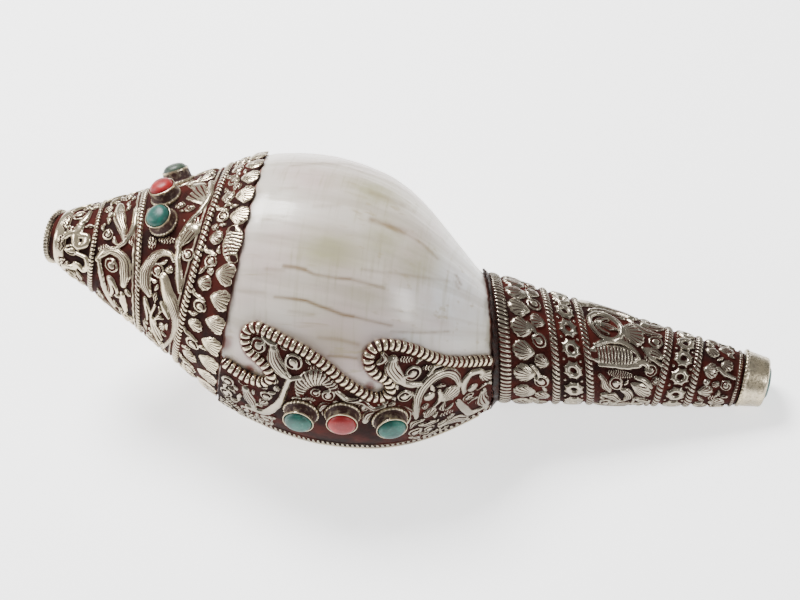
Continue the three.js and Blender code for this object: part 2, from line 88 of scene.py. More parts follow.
class Surface:
    """A material being made: its nodes, and what goes into its Principled shader."""

    def __init__(self, name, roughness=0.5, metallic=0.0):
        self.material = bpy.data.materials.new(name)
        self.material.use_nodes = True
        self.nodes = self.material.node_tree.nodes
        self.links = self.material.node_tree.links
        self.shader = self.nodes["Principled BSDF"]
        self.set(Roughness=roughness, Metallic=metallic)

    def set(self, **values):
        for name, value in values.items():
            self.shader.inputs[name.replace("_", " ")].default_value = value

    def feed(self, **outputs):
        for name, output in outputs.items():
            self.links.new(output, self.shader.inputs[name.replace("_", " ")])

    def add(self, kind, **settings):
        """A node with its settings and the plain values of its inputs."""
        node = self.nodes.new(kind)
        for name, value in settings.items():
            if hasattr(node, name):
                setattr(node, name, value)
            else:
                node.inputs[name.replace("_", " ")].default_value = value
        return node

    def attribute(self, name):
        return self.add("ShaderNodeAttribute", attribute_name=name).outputs["Fac"]

    def ranged(self, value, low, high, to_low=0.0, to_high=1.0):
        node = self.add("ShaderNodeMapRange", interpolation_type="SMOOTHSTEP")
        for socket, number in zip(("From Min", "From Max", "To Min", "To Max"),
                                  (low, high, to_low, to_high)):
            node.inputs[socket].default_value = number
        self.links.new(value, node.inputs["Value"])
        return node.outputs["Result"]

    def blended(self, share, one, other):
        """A colour between two, each a plain colour or another node's output."""
        node = self.add("ShaderNodeMix", data_type="RGBA")
        for socket, colour in ((6, one), (7, other)):
            if isinstance(colour, tuple):
                node.inputs[socket].default_value = (*colour, 1)
            else:
                self.links.new(colour, node.inputs[socket])
        self.links.new(share, node.inputs[0])
        return node.outputs[2]

    def combined(self, operation, one, other):
        node = self.add("ShaderNodeMath", operation=operation)
        if operation == "MULTIPLY_ADD":
            node.inputs[2].default_value = 0.5
        for socket, value in ((0, one), (1, other)):
            if isinstance(value, (int, float)):
                node.inputs[socket].default_value = value
            else:
                self.links.new(value, node.inputs[socket])
        return node.outputs[0]

    def noise(self, scale, detail=4.0, stretch=(1, 1, 1), turned=(0, 0, 0)):
        """Noise on object coordinates, in lumps of 1/scale metres."""
        place = self.add("ShaderNodeTexCoord")
        mapping = self.add("ShaderNodeMapping", Scale=stretch, Rotation=turned)
        self.links.new(place.outputs["Object"], mapping.inputs["Vector"])
        texture = self.add("ShaderNodeTexNoise", Scale=scale, Detail=detail, Roughness=0.55)
        self.links.new(mapping.outputs["Vector"], texture.inputs["Vector"])
        return texture.outputs["Fac"]

    def bumped(self, height, strength, distance):
        bump = self.add("ShaderNodeBump", Strength=strength, Distance=distance)
        self.links.new(height, bump.inputs["Height"])
        self.feed(Normal=bump.outputs["Normal"])


bpy.ops.object.select_all(action="DESELECT")
bpy.ops.mesh.primitive_plane_add(size=FLOOR_SIZE, location=(0, 0, 0))
floor = bpy.context.object
floor.name = "floor"
paper = Surface("white_paper", roughness=0.9)
paper.set(Base_Color=(0.93, 0.93, 0.93, 1), Specular_IOR_Level=0.1)
paper.set(Emission_Color=(1, 1, 1, 1), Emission_Strength=1.5)
floor.data.materials.append(paper.material)

world = bpy.data.worlds.new("studio")
bpy.context.scene.world = world
world.use_nodes = True
world.node_tree.nodes["Background"].inputs["Color"].default_value = (1, 1, 1, 1)
world.node_tree.nodes["Background"].inputs["Strength"].default_value = 0.32
for name, place, size, power in LIGHTS:
    box = bpy.data.objects.new(name, bpy.data.lights.new(name, "AREA"))
    bpy.context.collection.objects.link(box)
    box.data.size = size
    box.data.energy = power
    box.location = place
    box.rotation_euler = Vector(place).to_track_quat("Z", "Y").to_euler()

# Shell
# A white chank, one natural solid: a spire cut off to blow through, a swollen last whorl that opens in
# a long mouth, and a straight canal. Polished, with faint growth lines and ochre stains.
LIP_TURN = -5
MOUTH_SPAN = 65
LIP_WALL = 3.4
APEX_ALONG = -14
HALF_TURN_SHRINK = 0.885
HALF_TURN_THIN = 0.94
SPIRE_START = 1.4
CANAL_END = 191.8
BLOW_HOLE_RADIUS = 4
BLOW_HOLE_DEPTH = 22
END_LEAN = 0.3
COLLAR_ALONG = 124.3
COLLAR_SLANT = 4.9
CAVITY_FRONT = 60
CAVITY_END = 127
CAVITY_REACH = 185
CAVITY_ABOVE = 8
CLEARANCE = 0.4
SIDE_HOLLOW = 1.9


def cosine(turn):
    return np.cos(np.radians(turn))


def sine(turn):
    return np.sin(np.radians(turn))


def smoothstep(x, start, end):
    t = np.clip((np.asarray(x, float) - start) / (end - start), 0, 1)
    return t * t * (3 - 2 * t)


def mixed(a, b, share):
    return a + (b - a) * share


def hermite(t, width, start, end, start_slope, end_slope):
    """A smooth step between two values, with a slope at each. t runs from 0 to 1 over the width."""
    s = 1 - t
    return (
        (1 + 2 * t) * s * s * start + t * s * s * width * start_slope
        + t * t * (3 - 2 * t) * end - t * t * s * width * end_slope
    )


def curve_through(pairs):
    """A smooth curve through given pairs, level beyond its ends."""
    xs, ys = np.array(pairs, float).T
    last = len(xs) - 1
    before = np.maximum(np.arange(len(xs)) - 1, 0)
    after = np.minimum(np.arange(len(xs)) + 1, last)
    slopes = (ys[after] - ys[before]) / (xs[after] - xs[before])

    def curve(x):
        x = np.clip(x, xs[0], xs[-1])
        i = np.clip(np.searchsorted(xs, x, side="right") - 1, 0, last - 1)
        w = xs[i + 1] - xs[i]
        return hermite((x - xs[i]) / w, w, ys[i], ys[i + 1], slopes[i], slopes[i + 1])

    return curve


def soft_max(a, b, reach):
    h = np.maximum(reach - np.abs(a - b), 0)
    return np.maximum(a, b) + h * h / (4 * reach)


def at(along, turn, radius):
    along, turn, radius = np.broadcast_arrays(along, turn, radius)
    return np.stack([along, -radius * cosine(turn), radius * sine(turn)], axis=-1)


whorl = curve_through([
    (40, 27), (50, 33.2), (57, 35.8), (64, 37.6), (71, 39.1), (80, 40), (88, 39.7), (94, 38.9),
    (100, 37.6), (107, 35), (114, 31.2), (120, 27), (127, 21.3), (134, 14.5), (141, 6), (146, 0),
])


def spire(along):
    return 6 + 0.47 * along + 0.0012 * along**2


def collar_along(turn):
    return COLLAR_ALONG + COLLAR_SLANT * cosine(turn)


def sleeve_radius(along):
    return 18.4 - 0.1416 * (along - 120)


def off_axis(along, turn, radius):
    """Radius, seen from the long axis, of a round stem that lies a little to the lip's side of it."""
    off = 3.7 - 0.044 * (along - 120)
    return off * cosine(turn) + np.sqrt(radius**2 - (off * sine(turn)) ** 2)


def whorl_radius(along, back):
    shrink = HALF_TURN_SHRINK ** (back / 180)
    grown = HALF_TURN_THIN ** (back / 180) * whorl((along - APEX_ALONG) / shrink + APEX_ALONG)
    return mixed(spire(along), grown, smoothstep(along, 44, 58))


def plain_radius(along, turn, back):
    edge = collar_along(turn)
    hollow_side = SIDE_HOLLOW * np.exp(-(((along - 109) / 14) ** 2)) * np.maximum(-cosine(turn), 0) ** 1.5
    ends = smoothstep((along - edge) / 3.5, -3 / 3.5, 0.5 / 3.5)
    body = (whorl_radius(along, back) - hollow_side) * (1 - ends)
    stem = off_axis(along, turn, sleeve_radius(np.maximum(along, 100)) - 1.9)
    return soft_max(body, stem * smoothstep(along, 90, 110), 4)


def shell_radius(along, turn):
    """The outside, with a flat across the mouth from the lip's edge to the belly."""
    along, turn = np.broadcast_arrays(np.asarray(along, float), np.asarray(turn, float))
    back = (turn - LIP_TURN) % 360
    plain = plain_radius(along, turn, back)
    mouth = 360 - MOUTH_SPAN
    from_lip = np.clip(360 - back, 0, MOUTH_SPAN)
    lip = plain_radius(along, LIP_TURN, 0)
    belly = plain_radius(along, LIP_TURN - MOUTH_SPAN, mouth)
    chord = lip * belly * sine(MOUTH_SPAN) / (lip * sine(from_lip) + belly * sine(MOUTH_SPAN - from_lip))
    is_open = smoothstep(along, 44, 56) * (1 - smoothstep(along, 124, 129)) * (back > mouth)
    return mixed(plain, chord, is_open)


def as_seen(along, turn, radius):
    """Where the camera sees points: along, and up from the long axis, on the plane through it."""
    nearer = 1 - radius * sine(turn) / (CAMERA_AWAY / MM)
    up = -radius * cosine(turn)
    return LOOK_AT[0] + (along - LOOK_AT[0]) / nearer, LOOK_AT[1] + (up - LOOK_AT[1]) / nearer


def seen_on(along, up, radius_at):
    """The place and turn, on a surface, of a point that the camera sees at this along and up."""
    place, turn = along, 90.0
    for _ in range(14):
        reach = float(radius_at(place, turn))
        nearer = 1 - reach * sine(turn) / (CAMERA_AWAY / MM)
        place = LOOK_AT[0] + (along - LOOK_AT[0]) * nearer
        true_up = LOOK_AT[1] + (up - LOOK_AT[1]) * nearer
        turn = math.degrees(math.acos(max(-1, min(1, -true_up / reach))))
    return float(place), turn


def leaned(points, station):
    """The blowing end isn't cut square: points near it lean."""
    moved = points.copy()
    moved[..., 0] -= END_LEAN * (1 - smoothstep(station, 0, 9)) * points[..., 2]
    return moved


def spaced(*stretches):
    """Values from start to end in steps, for each stretch (start, end, step) in turn."""
    return np.concatenate([np.arange(a, b - step / 2, step) for a, b, step in stretches])


def seen_turns(fine, coarse):
    """Turns all the way round, closer together over the back, where the work is seen."""
    return spaced((-26, 206, fine), (206, 334, coarse))


def marked(mesh, marks):
    """Keeps values by point on a mesh, for its material. Points past the last value get 0."""
    for name, values in marks.items():
        padded = np.zeros(len(mesh.vertices), np.float32)
        padded[: values.size] = values.ravel()
        mesh.attributes.new(name, "FLOAT", "POINT").data.foreach_set("value", padded)


def net(name, rings, wrap_rings=False, wrap_round=True, marks=None, wall=None):
    """A mesh over rings of points. A wall joins the last ring to the first. Marks are values by point."""
    rows, columns = rings.shape[:2]
    i = np.arange(rows if wrap_rings else rows - 1)[:, None]
    j = np.arange(columns if wrap_round else columns - 1)[None, :]
    down, right = (i + 1) % rows, (j + 1) % columns
    quads = np.stack([i * columns + j, i * columns + right, down * columns + right, down * columns + j],
                     -1)
    faces = [*map(tuple, quads.reshape(-1, 4).tolist())]
    points = rings.reshape(-1, 3)
    if wall == "poles":
        centres = [rings[0].mean(0), rings[-1].mean(0)]
        for n, (start, flip) in enumerate([(0, False), ((rows - 1) * columns, True)]):
            for a in range(columns):
                b = (a + 1) % columns
                pole = len(points) + n
                faces.append((pole, start + b, start + a) if not flip else (pole, start + a, start + b))
        points = np.concatenate([points, centres])
    if wall == "plates":
        faces.append(tuple(range(columns - 1, -1, -1)))
        faces.append(tuple(range((rows - 1) * columns, rows * columns)))
    mesh = bpy.data.meshes.new(name)
    mesh.from_pydata(laid(points).tolist(), [], faces)
    made = bpy.data.objects.new(name, mesh)
    bpy.context.collection.objects.link(made)
    marked(mesh, marks or {})
    facing_out(made)
    mesh.shade_smooth()
    return made


def volume(mesh):
    mesh.calc_loop_triangles()
    co = np.zeros(len(mesh.vertices) * 3)
    mesh.vertices.foreach_get("co", co)
    corners = np.zeros(len(mesh.loop_triangles) * 3, int)
    mesh.loop_triangles.foreach_get("vertices", corners)
    a, b, c = co.reshape(-1, 3)[corners.reshape(-1, 3)].transpose(1, 0, 2)
    return np.einsum("ij,ij->", a, np.cross(b, c)) / 6


def facing_out(made):
    if volume(made.data) < 0:
        made.data.flip_normals()


def apply_all(made):
    bpy.context.view_layer.objects.active = made
    for modifier in list(made.modifiers):
        bpy.ops.object.modifier_apply(modifier=modifier.name)


def cut_by(made, cutter):
    cut = made.modifiers.new("cut", "BOOLEAN")
    cut.operation = "DIFFERENCE"
    cut.solver = "MANIFOLD"
    cut.object = cutter
    apply_all(made)
    bpy.data.objects.remove(cutter)


def columella(along, back):
    previous = 0.93 * whorl_radius(along, 360 + back) - 2
    fold = np.exp(-(((along - 98) / 10) ** 2))
    return soft_max(previous, 9 + 0.8 * np.cos((along - back / 20) * 0.95) * fold, 3)


def cavity_section(back, steps=34):
    deep = math.sqrt(max(1 - (max(back, 0) / CAVITY_REACH) ** 2, 0))
    shrink = HALF_TURN_SHRINK ** (max(back, 0) / 180)
    front = (mixed(75, CAVITY_FRONT, deep) - APEX_ALONG) * shrink + APEX_ALONG
    end = (mixed(105, CAVITY_END, deep) - APEX_ALONG) * shrink + APEX_ALONG
    v = (1 - np.cos(np.linspace(0, math.pi, steps))) / 2
    along = mixed(front, end, v)
    bulge = np.sqrt(4 * v * (1 - v))
    turn = LIP_TURN + back
    if back < 0:
        roof = shell_radius(along, turn) + CAVITY_ABOVE
    else:
        roof = plain_radius(along, turn, back) - LIP_WALL
    low = np.minimum(mixed(columella(along, back), roof, smoothstep(-back, 4, 62)), roof - 1)
    middle, half = (roof + low) / 2, (roof - low) / 2 * bulge * deep
    if back < 0:
        outer = mixed(middle, roof, np.minimum(bulge * 2, 1))
        inner = mixed(middle, low, bulge)
    else:
        outer, inner = middle + half, middle - half
    ring = np.concatenate([at(along, turn, outer), at(along, turn, inner)[::-1]])
    return ring


shell_along = spaced((SPIRE_START, 46, 3), (46, 128, 0.55), (128, CANAL_END, 3))
shell_along = np.append(shell_along, CANAL_END)
shell_turns = seen_turns(0.65, 1.4)
grid_along, grid_turn = np.meshgrid(shell_along, shell_turns, indexing="ij")

# Fine growth lines run the length of the whorl, side by side round it.
GROWTH_WAVES = [(17, 1.1, 4.0), (29, 3.7, 0.6), (47, 5.2, 2.9), (73, 0.4, 5.1), (111, 2.2, 1.3),
                (150, 4.4, 3.6)]
GROWTH_RELIEF = 0.75
GROWTH_ROOM = 0.3


def growth_lines(along, turn):
    lines = 0
    for count, sway, start in GROWTH_WAVES:
        lines = lines + np.sin(np.radians(turn + 3 * np.sin(along / 21 + sway)) * count + start) / count
    return lines


body_radius = shell_radius(grid_along, grid_turn) - GROWTH_ROOM
body_radius += GROWTH_RELIEF * growth_lines(grid_along, grid_turn) * smoothstep(grid_along, 52, 60)
rings = leaned(at(grid_along, grid_turn, body_radius), grid_along)
shell = net("chank_shell", rings, wall="poles")
backs = spaced((-68, 0, 3.4), (0, 178, 4.45))
hollow = net("hollow", np.stack([cavity_section(back) for back in backs]), wall="plates")
cut_by(shell, hollow)
bore_along = np.array([-6, BLOW_HOLE_DEPTH], float)
bore = net("bore", at(bore_along[:, None], np.arange(0, 360, 10)[None, :], BLOW_HOLE_RADIUS),
           wall="poles")
cut_by(shell, bore)
shell.data.set_sharp_from_angle(angle=math.radians(50))

# Its marks are worked out point by point, once it is whole.
points = np.zeros(len(shell.data.vertices) * 3)
shell.data.vertices.foreach_get("co", points)
points = (points.reshape(-1, 3) / MM - PLACE) @ LIE
skin_along = points[:, 0]
skin_turn = np.degrees(np.arctan2(points[:, 2], -points[:, 1])) % 360
skin_radius = np.hypot(points[:, 1], points[:, 2])
outside = skin_radius > shell_radius(skin_along, skin_turn) - 1.5

# Ochre stains in old growth lines: points along each (along, up from the axis), how wide, how strong.
STAINS = [
    ([(62.2, 4.6), (65.3, 4.9), (68.2, 4.8)], 0.5, 1.0),
    ([(68.2, 4.8), (70.7, 4.0), (77, 4.2), (81, 4.9)], 0.4, 0.75),
    ([(81, 4.9), (85.8, 4.6), (90.6, 4.2)], 0.4, 0.5),
    ([(61.4, -4.3), (65.5, -3.8), (70.2, -3.5)], 0.4, 0.9),
    ([(70.2, -3.5), (72.9, -4.1), (76.7, -4.6), (81, -5.3), (84.1, -5.2)], 0.4, 0.85),
    ([(84.1, -5.2), (89.4, -5.4), (94.7, -5.5)], 0.35, 0.6),
    ([(83.2, 22.2), (88, 21.6), (93, 20.5)], 0.7, 0.7),
    ([(93, 20.5), (98.6, 18.5), (103.5, 15.3)], 0.4, 0.45),
    ([(58.6, 32.3), (67.5, 34.9), (73.6, 35.9), (79.9, 35.6), (85.3, 34.9), (90.8, 33.7), (94.8, 32.1)],
     0.35, 0.5),
    ([(53.1, 15.8), (59.5, 17.7)], 0.4, 0.45),
    ([(95, -7.1), (103.6, -5.7), (110.6, -3.9)], 0.3, 0.5),
    ([(75.7, -12.7), (80.4, -12.2), (86.7, -12.5)], 0.6, 0.45),
    ([(79.3, -17.2), (84.4, -16.6), (87, -16.4)], 0.35, 0.6),
    ([(57.3, 2.9), (62.4, 3.5)], 0.5, 0.3),
    ([(51.5, -4.6), (58.2, -3.7)], 0.4, 0.3),
    ([(83.5, 8.1), (92.8, 8.9), (107.8, 9.8)], 0.4, 0.3),
    ([(81.7, 29.4), (91, 27.7)], 0.7, 0.35),
    ([(56.9, 25.4), (61.3, 26.8)], 0.5, 0.25),
    ([(109.4, 11.9), (111.2, 9.6)], 0.3, 0.7),
    ([(109.5, 10.1), (111, 8.2)], 0.3, 0.6),
    ([(66.9, 22.5), (73.9, 24.3)], 0.5, 0.22),
    ([(66.2, -7.3), (72.9, -6.7)], 0.5, 0.25),
]
seen_along, seen_up = as_seen(skin_along, skin_turn, skin_radius)
seen = (sine(skin_turn) > 0) & outside
stain = np.zeros_like(seen_up)
for line, width, strong in STAINS:
    for (a0, u0), (a1, u1) in zip(line, line[1:]):
        length = math.hypot(a1 - a0, u1 - u0)
        t = np.clip(((seen_along - a0) * (a1 - a0) + (seen_up - u0) * (u1 - u0)) / length**2, 0, 1)
        away = np.hypot(seen_along - a0 - t * (a1 - a0), seen_up - u0 - t * (u1 - u0))
        stain = np.maximum(stain, strong * seen * np.exp(-((away / (width + 0.1)) ** 2)))

# Soft patches of tint: place (along, up), half sizes and strength.
TINTS = {
    "olive": [
        (72.8, 11.6, 7.7, 5.1, 1), (82.1, 29.8, 7.7, 3.6, 0.9), (88.3, 18, 5.6, 6.2, 0.8),
        (97.5, 13.6, 5.6, 4.6, 0.8), (85.2, 2.1, 5.1, 3.1, 0.5), (78.2, -11.9, 6.2, 2.1, 0.5),
        (55, 21.6, 6.2, 3.6, 0.35), (72.5, -4.7, 6.2, 3.1, 0.35),
    ],
    "pink": [
        (65.4, 29.5, 7.7, 4.1, 0.8), (57.9, 5.4, 5.6, 7.2, 0.7), (77, 9.3, 4.1, 5.1, 0.5),
        (107.6, -2.1, 3.1, 1.5, 0.6), (58, -22, 4, 5, 0.8), (88, -20, 4, 4, 0.7),
    ],
    "blue": [(109.2, 5.5, 8.7, 11.3, 1), (100, -9, 9, 4, 0.7), (66, -16, 6, 6, 0.3)],
}
tints = {}
for name, patches in TINTS.items():
    cloudy = 0.5 + 0.5 * np.sin(skin_along / 9 + np.radians(skin_turn) * 3 + len(name))
    tints[name] = 0.25 * (1 - seen) * cloudy
    for a0, u0, wide, tall, strong in patches:
        away = ((seen_along - a0) / wide) ** 2 + ((seen_up - u0) / tall) ** 2
        tints[name] = np.maximum(tints[name], strong * seen * np.exp(-0.7 * away))

# The lip mount's cut line, as seen from the back: along, and up from the long axis. A dark red stain
# has crept from under the silver onto the shell, all along it and along the cap and the collar.
CURL_LINE = [
    (50.8, -24.6), (52.4, -25.7), (55.5, -27.1), (60, -28.4), (63.6, -28.2), (65, -26.6), (63.6, -24.6),
    (60.4, -22.2), (57.4, -20.2), (55.8, -17.6), (55.9, -15.2), (58, -13.8), (62, -14.6), (67, -16.1),
    (73, -17.8), (79, -20.4), (84.5, -23.5), (89.5, -25.5), (93.5, -26.4), (96.6, -25.6), (98, -23.2),
    (96.6, -21), (93.4, -19.9), (91, -18), (90.3, -15.4), (91.3, -12.8), (94, -11.3), (98, -10.8),
    (103, -11.2), (108, -12.1), (113, -12.2), (118, -11.2), (122, -10.1), (127, -9),
]


def smooth_path(points, step=0.16):
    """Points close together on a smooth curve through the given ones."""
    points = np.asarray(points, float)
    lengths = np.maximum(np.hypot(*np.diff(points, axis=0).T), 1e-6)
    s = np.concatenate([[0], np.cumsum(lengths)])
    fine = np.linspace(0, s[-1], max(int(s[-1] / step), 2) + 1)
    if len(points) > 2:
        slopes = np.gradient(points, s, axis=0)
    else:
        slopes = np.tile(np.diff(points, axis=0) / s[1], (2, 1))
    i = np.clip(np.searchsorted(s, fine, side="right") - 1, 0, len(s) - 2)
    w = (s[i + 1] - s[i])[:, None]
    return hermite((fine - s[i])[:, None] / w, w, points[i], points[i + 1], slopes[i], slopes[i + 1])


def nearest_on(path, x, y, batch=40):
    """For each point, how far the path is, and which of its points is the nearest."""
    best = np.full(x.shape, 1e9)
    which = np.zeros(x.shape, int)
    for start in range(0, len(path), batch):
        part = path[start : start + batch]
        away = (x[..., None] - part[:, 0]) ** 2 + (y[..., None] - part[:, 1]) ** 2
        k = away.argmin(-1)
        d = np.take_along_axis(away, k[..., None], -1)[..., 0]
        closer = d < best
        best = np.where(closer, d, best)
        which = np.where(closer, start + k, which)
    return np.sqrt(best), which


STAINED_CORNERS = [(50.3, -19.6, 2.6), (58.7, -25.1, 1.5), (92.3, -23.1, 1.7)]
curl_seen = smooth_path(CURL_LINE, 0.5)
near_curl, _ = nearest_on(curl_seen, seen_along, seen_up)
slope_factor = np.clip(sine(skin_turn), 0.3, 1)
creep = 0.5 + 0.5 * np.sin(skin_along * 1.3 + np.sin(skin_turn / 4))
tarnish = np.exp(-np.maximum(near_curl / slope_factor - 1.6, 0) / (0.35 + 0.4 * creep)) * seen
tarnish = np.maximum(tarnish, np.exp(-np.maximum(skin_along - 51.4, 0) / (0.4 + 0.5 * creep)) * outside)
from_collar = collar_along(skin_turn) - 3.2 - skin_along
tarnish = np.maximum(tarnish, np.exp(-np.maximum(from_collar, 0) / (0.3 + 0.3 * creep)) * outside)
for a0, u0, reach in STAINED_CORNERS:
    pooled = np.exp(-((seen_along - a0) ** 2 + (seen_up - u0) ** 2) / reach**2) * seen
    tarnish = np.maximum(tarnish, pooled)
growth = growth_lines(skin_along, skin_turn)
marked(shell.data, {"stain": stain, "growth": growth, "tarnish": tarnish, **tints})


def finished(piece, made, node):
    """Gives a piece its material, and puts it in the place of its node of the solids."""
    piece.data.materials.append(made.material)
    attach(piece, "root")
    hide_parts(node)


SHELL_WHITE = (0.605, 0.545, 0.48)
SHELL_PINK = (0.51, 0.39, 0.36)
SHELL_BLUE = (0.66, 0.68, 0.70)
SHELL_OLIVE = (0.36, 0.335, 0.20)
OCHRE = (0.15, 0.082, 0.014)
STAIN_RED = (0.12, 0.022, 0.012)
SHELL_CREAM = (0.50, 0.47, 0.33)
SHELL_ROSE = (0.50, 0.36, 0.345)
HATCH_BROWN = (0.34, 0.30, 0.19)
GROWTH_GROOVE_SHADE = (0.34, 0.29, 0.22)
STREAK_BROWN = (0.36, 0.29, 0.18)
ALONG_WHORL = (0, -PITCH, 0)
chank = Surface("polished_chank", roughness=0.32)
chank.set(Coat_Weight=0.25, Coat_Roughness=0.15)
broad = chank.noise(40, 3, (0.5, 1, 1), ALONG_WHORL)
clouds = chank.noise(90, 5, (0.6, 1, 1), ALONG_WHORL)
fine = chank.noise(420, 3, (0.1, 1, 1), ALONG_WHORL)
across = chank.noise(700, 3, (1, 0.07, 0.07), ALONG_WHORL)
colour = chank.blended(chank.ranged(broad, 0.42, 0.66, 0, 0.8), SHELL_WHITE, SHELL_PINK)
colour = chank.blended(chank.ranged(clouds, 0.5, 0.75, 0, 0.6), colour, SHELL_CREAM)
for name, tint, share in (("blue", SHELL_BLUE, 0.9), ("pink", SHELL_ROSE, 0.8),
                          ("olive", SHELL_OLIVE, 1.1)):
    broken = chank.ranged(clouds, 0.3, 0.62, 0.35, share)
    colour = chank.blended(chank.combined("MULTIPLY", chank.attribute(name), broken), colour, tint)
hatched = chank.combined("MULTIPLY", chank.ranged(across, 0.5, 0.72, 0, 0.5),
                         chank.ranged(clouds, 0.3, 0.6))
colour = chank.blended(hatched, colour, HATCH_BROWN)
# The growth lines are painted brown, darkest down in their grooves: painted shade in the grooves.
colour = chank.blended(chank.ranged(chank.attribute("growth"), 0.02, -0.09, 0, 0.35), colour,
                       GROWTH_GROOVE_SHADE)
colour = chank.blended(chank.ranged(fine, 0.58, 0.72, 0, 0.6), colour, STREAK_BROWN)
streaked = chank.combined("MULTIPLY", chank.attribute("stain"), chank.ranged(fine, 0.3, 0.6, 0.6, 1))
colour = chank.blended(streaked, colour, OCHRE)
colour = chank.blended(chank.ranged(chank.attribute("tarnish"), 0.1, 0.9, 0, 0.9), colour, STAIN_RED)
chank.feed(Base_Color=colour)
chank.bumped(fine, 0.05, 0.001)
shell.data.materials.clear()
finished(shell, chank, "shell")

# Silver cap on the spire
# One sheet of silver raised over the spire, with bands of scrolls, leaves and fans chased up from
# behind between twisted ropes. Dark red lac has settled in all that lies low.
GROUND = 1.0
CAP_SLANT = curve_through([(0, 0), (9.5, 0.4), (23.2, 3.2), (31, 0.6), (38.8, -2), (46, -1), (51.3, 0)])
CAP_EDGE = 51.2


class Chasing:
    """Work chased up from a sheet: heights in millimetres over a net of places along and round it.
    Fine engraved lines aren't in the heights: "phase" counts them and "depth" says how deep they are."""

    def __init__(self, places, turns, radius):
        self.places, self.turns, self.radius = places, turns, radius
        self.height = np.zeros(radius.shape)
        self.phase = np.zeros(radius.shape)
        self.depth = np.zeros(radius.shape)

    def around(self, place, turn, reach):
        """The part of the net within reach, and where its points are, in millimetres from there."""
        rows = np.nonzero(np.abs(self.places - place) < reach)[0]
        if not rows.size:
            return None
        gap = (self.turns - turn + 180) % 360 - 180
        columns = np.nonzero(np.abs(np.radians(gap)) * self.radius[rows].mean() < reach)[0]
        if not columns.size:
            return None
        block = np.ix_(rows, columns)
        x = np.broadcast_to((self.places[rows] - place)[:, None], self.radius[block].shape)
        y = np.radians(gap[columns])[None, :] * self.radius[block]
        sway_x = 0.05 * np.sin(1.9 * y + 0.7 * self.places[rows][:, None])
        sway_y = 0.05 * np.sin(2.3 * x + 0.11 * self.turns[columns][None, :])
        return block, x + sway_x, y + sway_y

    def lift(self, block, height, phase=0.0, depth=0.0):
        higher = height > self.height[block]
        self.height[block] = np.where(higher, height, self.height[block])
        self.phase[block] = np.where(higher, phase, self.phase[block])
        self.depth[block] = np.where(higher, depth, self.depth[block])

    def line(self, place, turn, path, widths, high=0.9, comb=0, ribs=0, fullness=2.2, aim=0):
        """A raised line or leaf along a path of (along, round) millimetres from a place. Widths are
        halves. Comb engraves that many lines lengthwise, ribs lines crosswise with that spacing."""
        path = np.asarray(path, float)
        if aim:
            c, s = math.cos(math.radians(aim)), math.sin(math.radians(aim))
            path = path @ np.array([[c, s], [-s, c]])
        path = smooth_path(path)
        found = self.around(place, turn, np.abs(path).max() + max(widths) + 0.4)
        if not found:
            return
        block, x, y = found
        away, which = nearest_on(path, x, y)
        t = which / (len(path) - 1)
        wide = np.interp(t, np.linspace(0, 1, len(widths)), widths) * 1.15 + 0.12
        q = np.minimum(away / wide, 1)
        tangent = np.gradient(path, axis=0)
        tangent /= np.maximum(np.hypot(*tangent.T), 1e-9)[:, None]
        across = (x - path[which, 0]) * tangent[which, 1] - (y - path[which, 1]) * tangent[which, 0]
        phase, depth = 0.0, 0.0
        s = np.concatenate([[0], np.cumsum(np.hypot(*np.diff(path, axis=0).T))])[which]
        height = high * np.clip(1 - q**fullness, 0, 1) ** 0.6
        if comb:
            phase = comb * across / wide / 2 + 0.12 * s
            depth = (1 - smoothstep(q, 0.7, 0.92)) * smoothstep(t, 0.1, 0.3) * (1 - smoothstep(t, 0.9, 1))
        if ribs:
            phase = (s + 0.2 * across) / ribs
            depth = 1 - smoothstep(q, 0.72, 0.95)
            height = height * (1 - 0.22 * depth * (0.5 + 0.5 * np.cos(2 * np.pi * phase)))
        self.lift(block, height, phase, depth)

    def trace(self, places, widths, radius_at, repeats=(0,), moved=float, **how):
        """A line through (place, turn) points, and its repeats round the piece."""
        middle, around = np.mean(places, axis=0)
        radius = float(radius_at(middle, around))
        path = [(place - middle, math.radians(turn - around) * radius) for place, turn in places]
        for shift in repeats:
            self.line(moved(middle), around + shift, path, widths, **how)

    def scallop(self, foot, tip, width, radius_at, repeats=(0,), moved=float, **how):
        """A fan from its foot to its tip, each (place, turn), and its repeats round the piece."""
        (place, turn), (dx, dy) = np.mean([foot, tip], axis=0), np.subtract(tip, foot)
        dy = math.radians(dy) * float(radius_at(place, turn))
        for shift in repeats:
            self.fan(moved(place), turn + shift, math.degrees(math.atan2(dy, dx)), math.hypot(dx, dy),
                     width, **how)

    def fan(self, place, turn, aim=0, length=4.8, width=4.6, comb=5, high=0.95):
        """A scallop: narrow at its foot, round at its tip, with radiating lines."""
        found = self.around(place, turn, max(length, width) * 0.7 + 0.3)
        if not found:
            return
        block, x, y = found
        c, s = math.cos(math.radians(aim)), math.sin(math.radians(aim))
        u = (x * c + y * s) / (length / 2)
        v = (y * c - x * s) / (width / 2)
        v = v / (1 - 0.42 * np.clip(-u, 0, 1))
        fanned = np.arctan2(v, u + 1.25)
        phase = fanned / 1.25 * comb
        q = np.hypot(u, v) * (1 + 0.035 * np.cos(2 * np.pi * phase) * (u > -0.4))
        depth = (1 - smoothstep(q, 0.72, 0.9)) * smoothstep(u, -0.75, -0.2)
        height = high * np.clip(1 - np.minimum(q, 1) ** 3, 0, 1) ** 0.55
        self.lift(block, height * (1 - 0.1 * depth * (0.5 + 0.5 * np.cos(2 * np.pi * phase))),
                  phase + 0.5, depth)

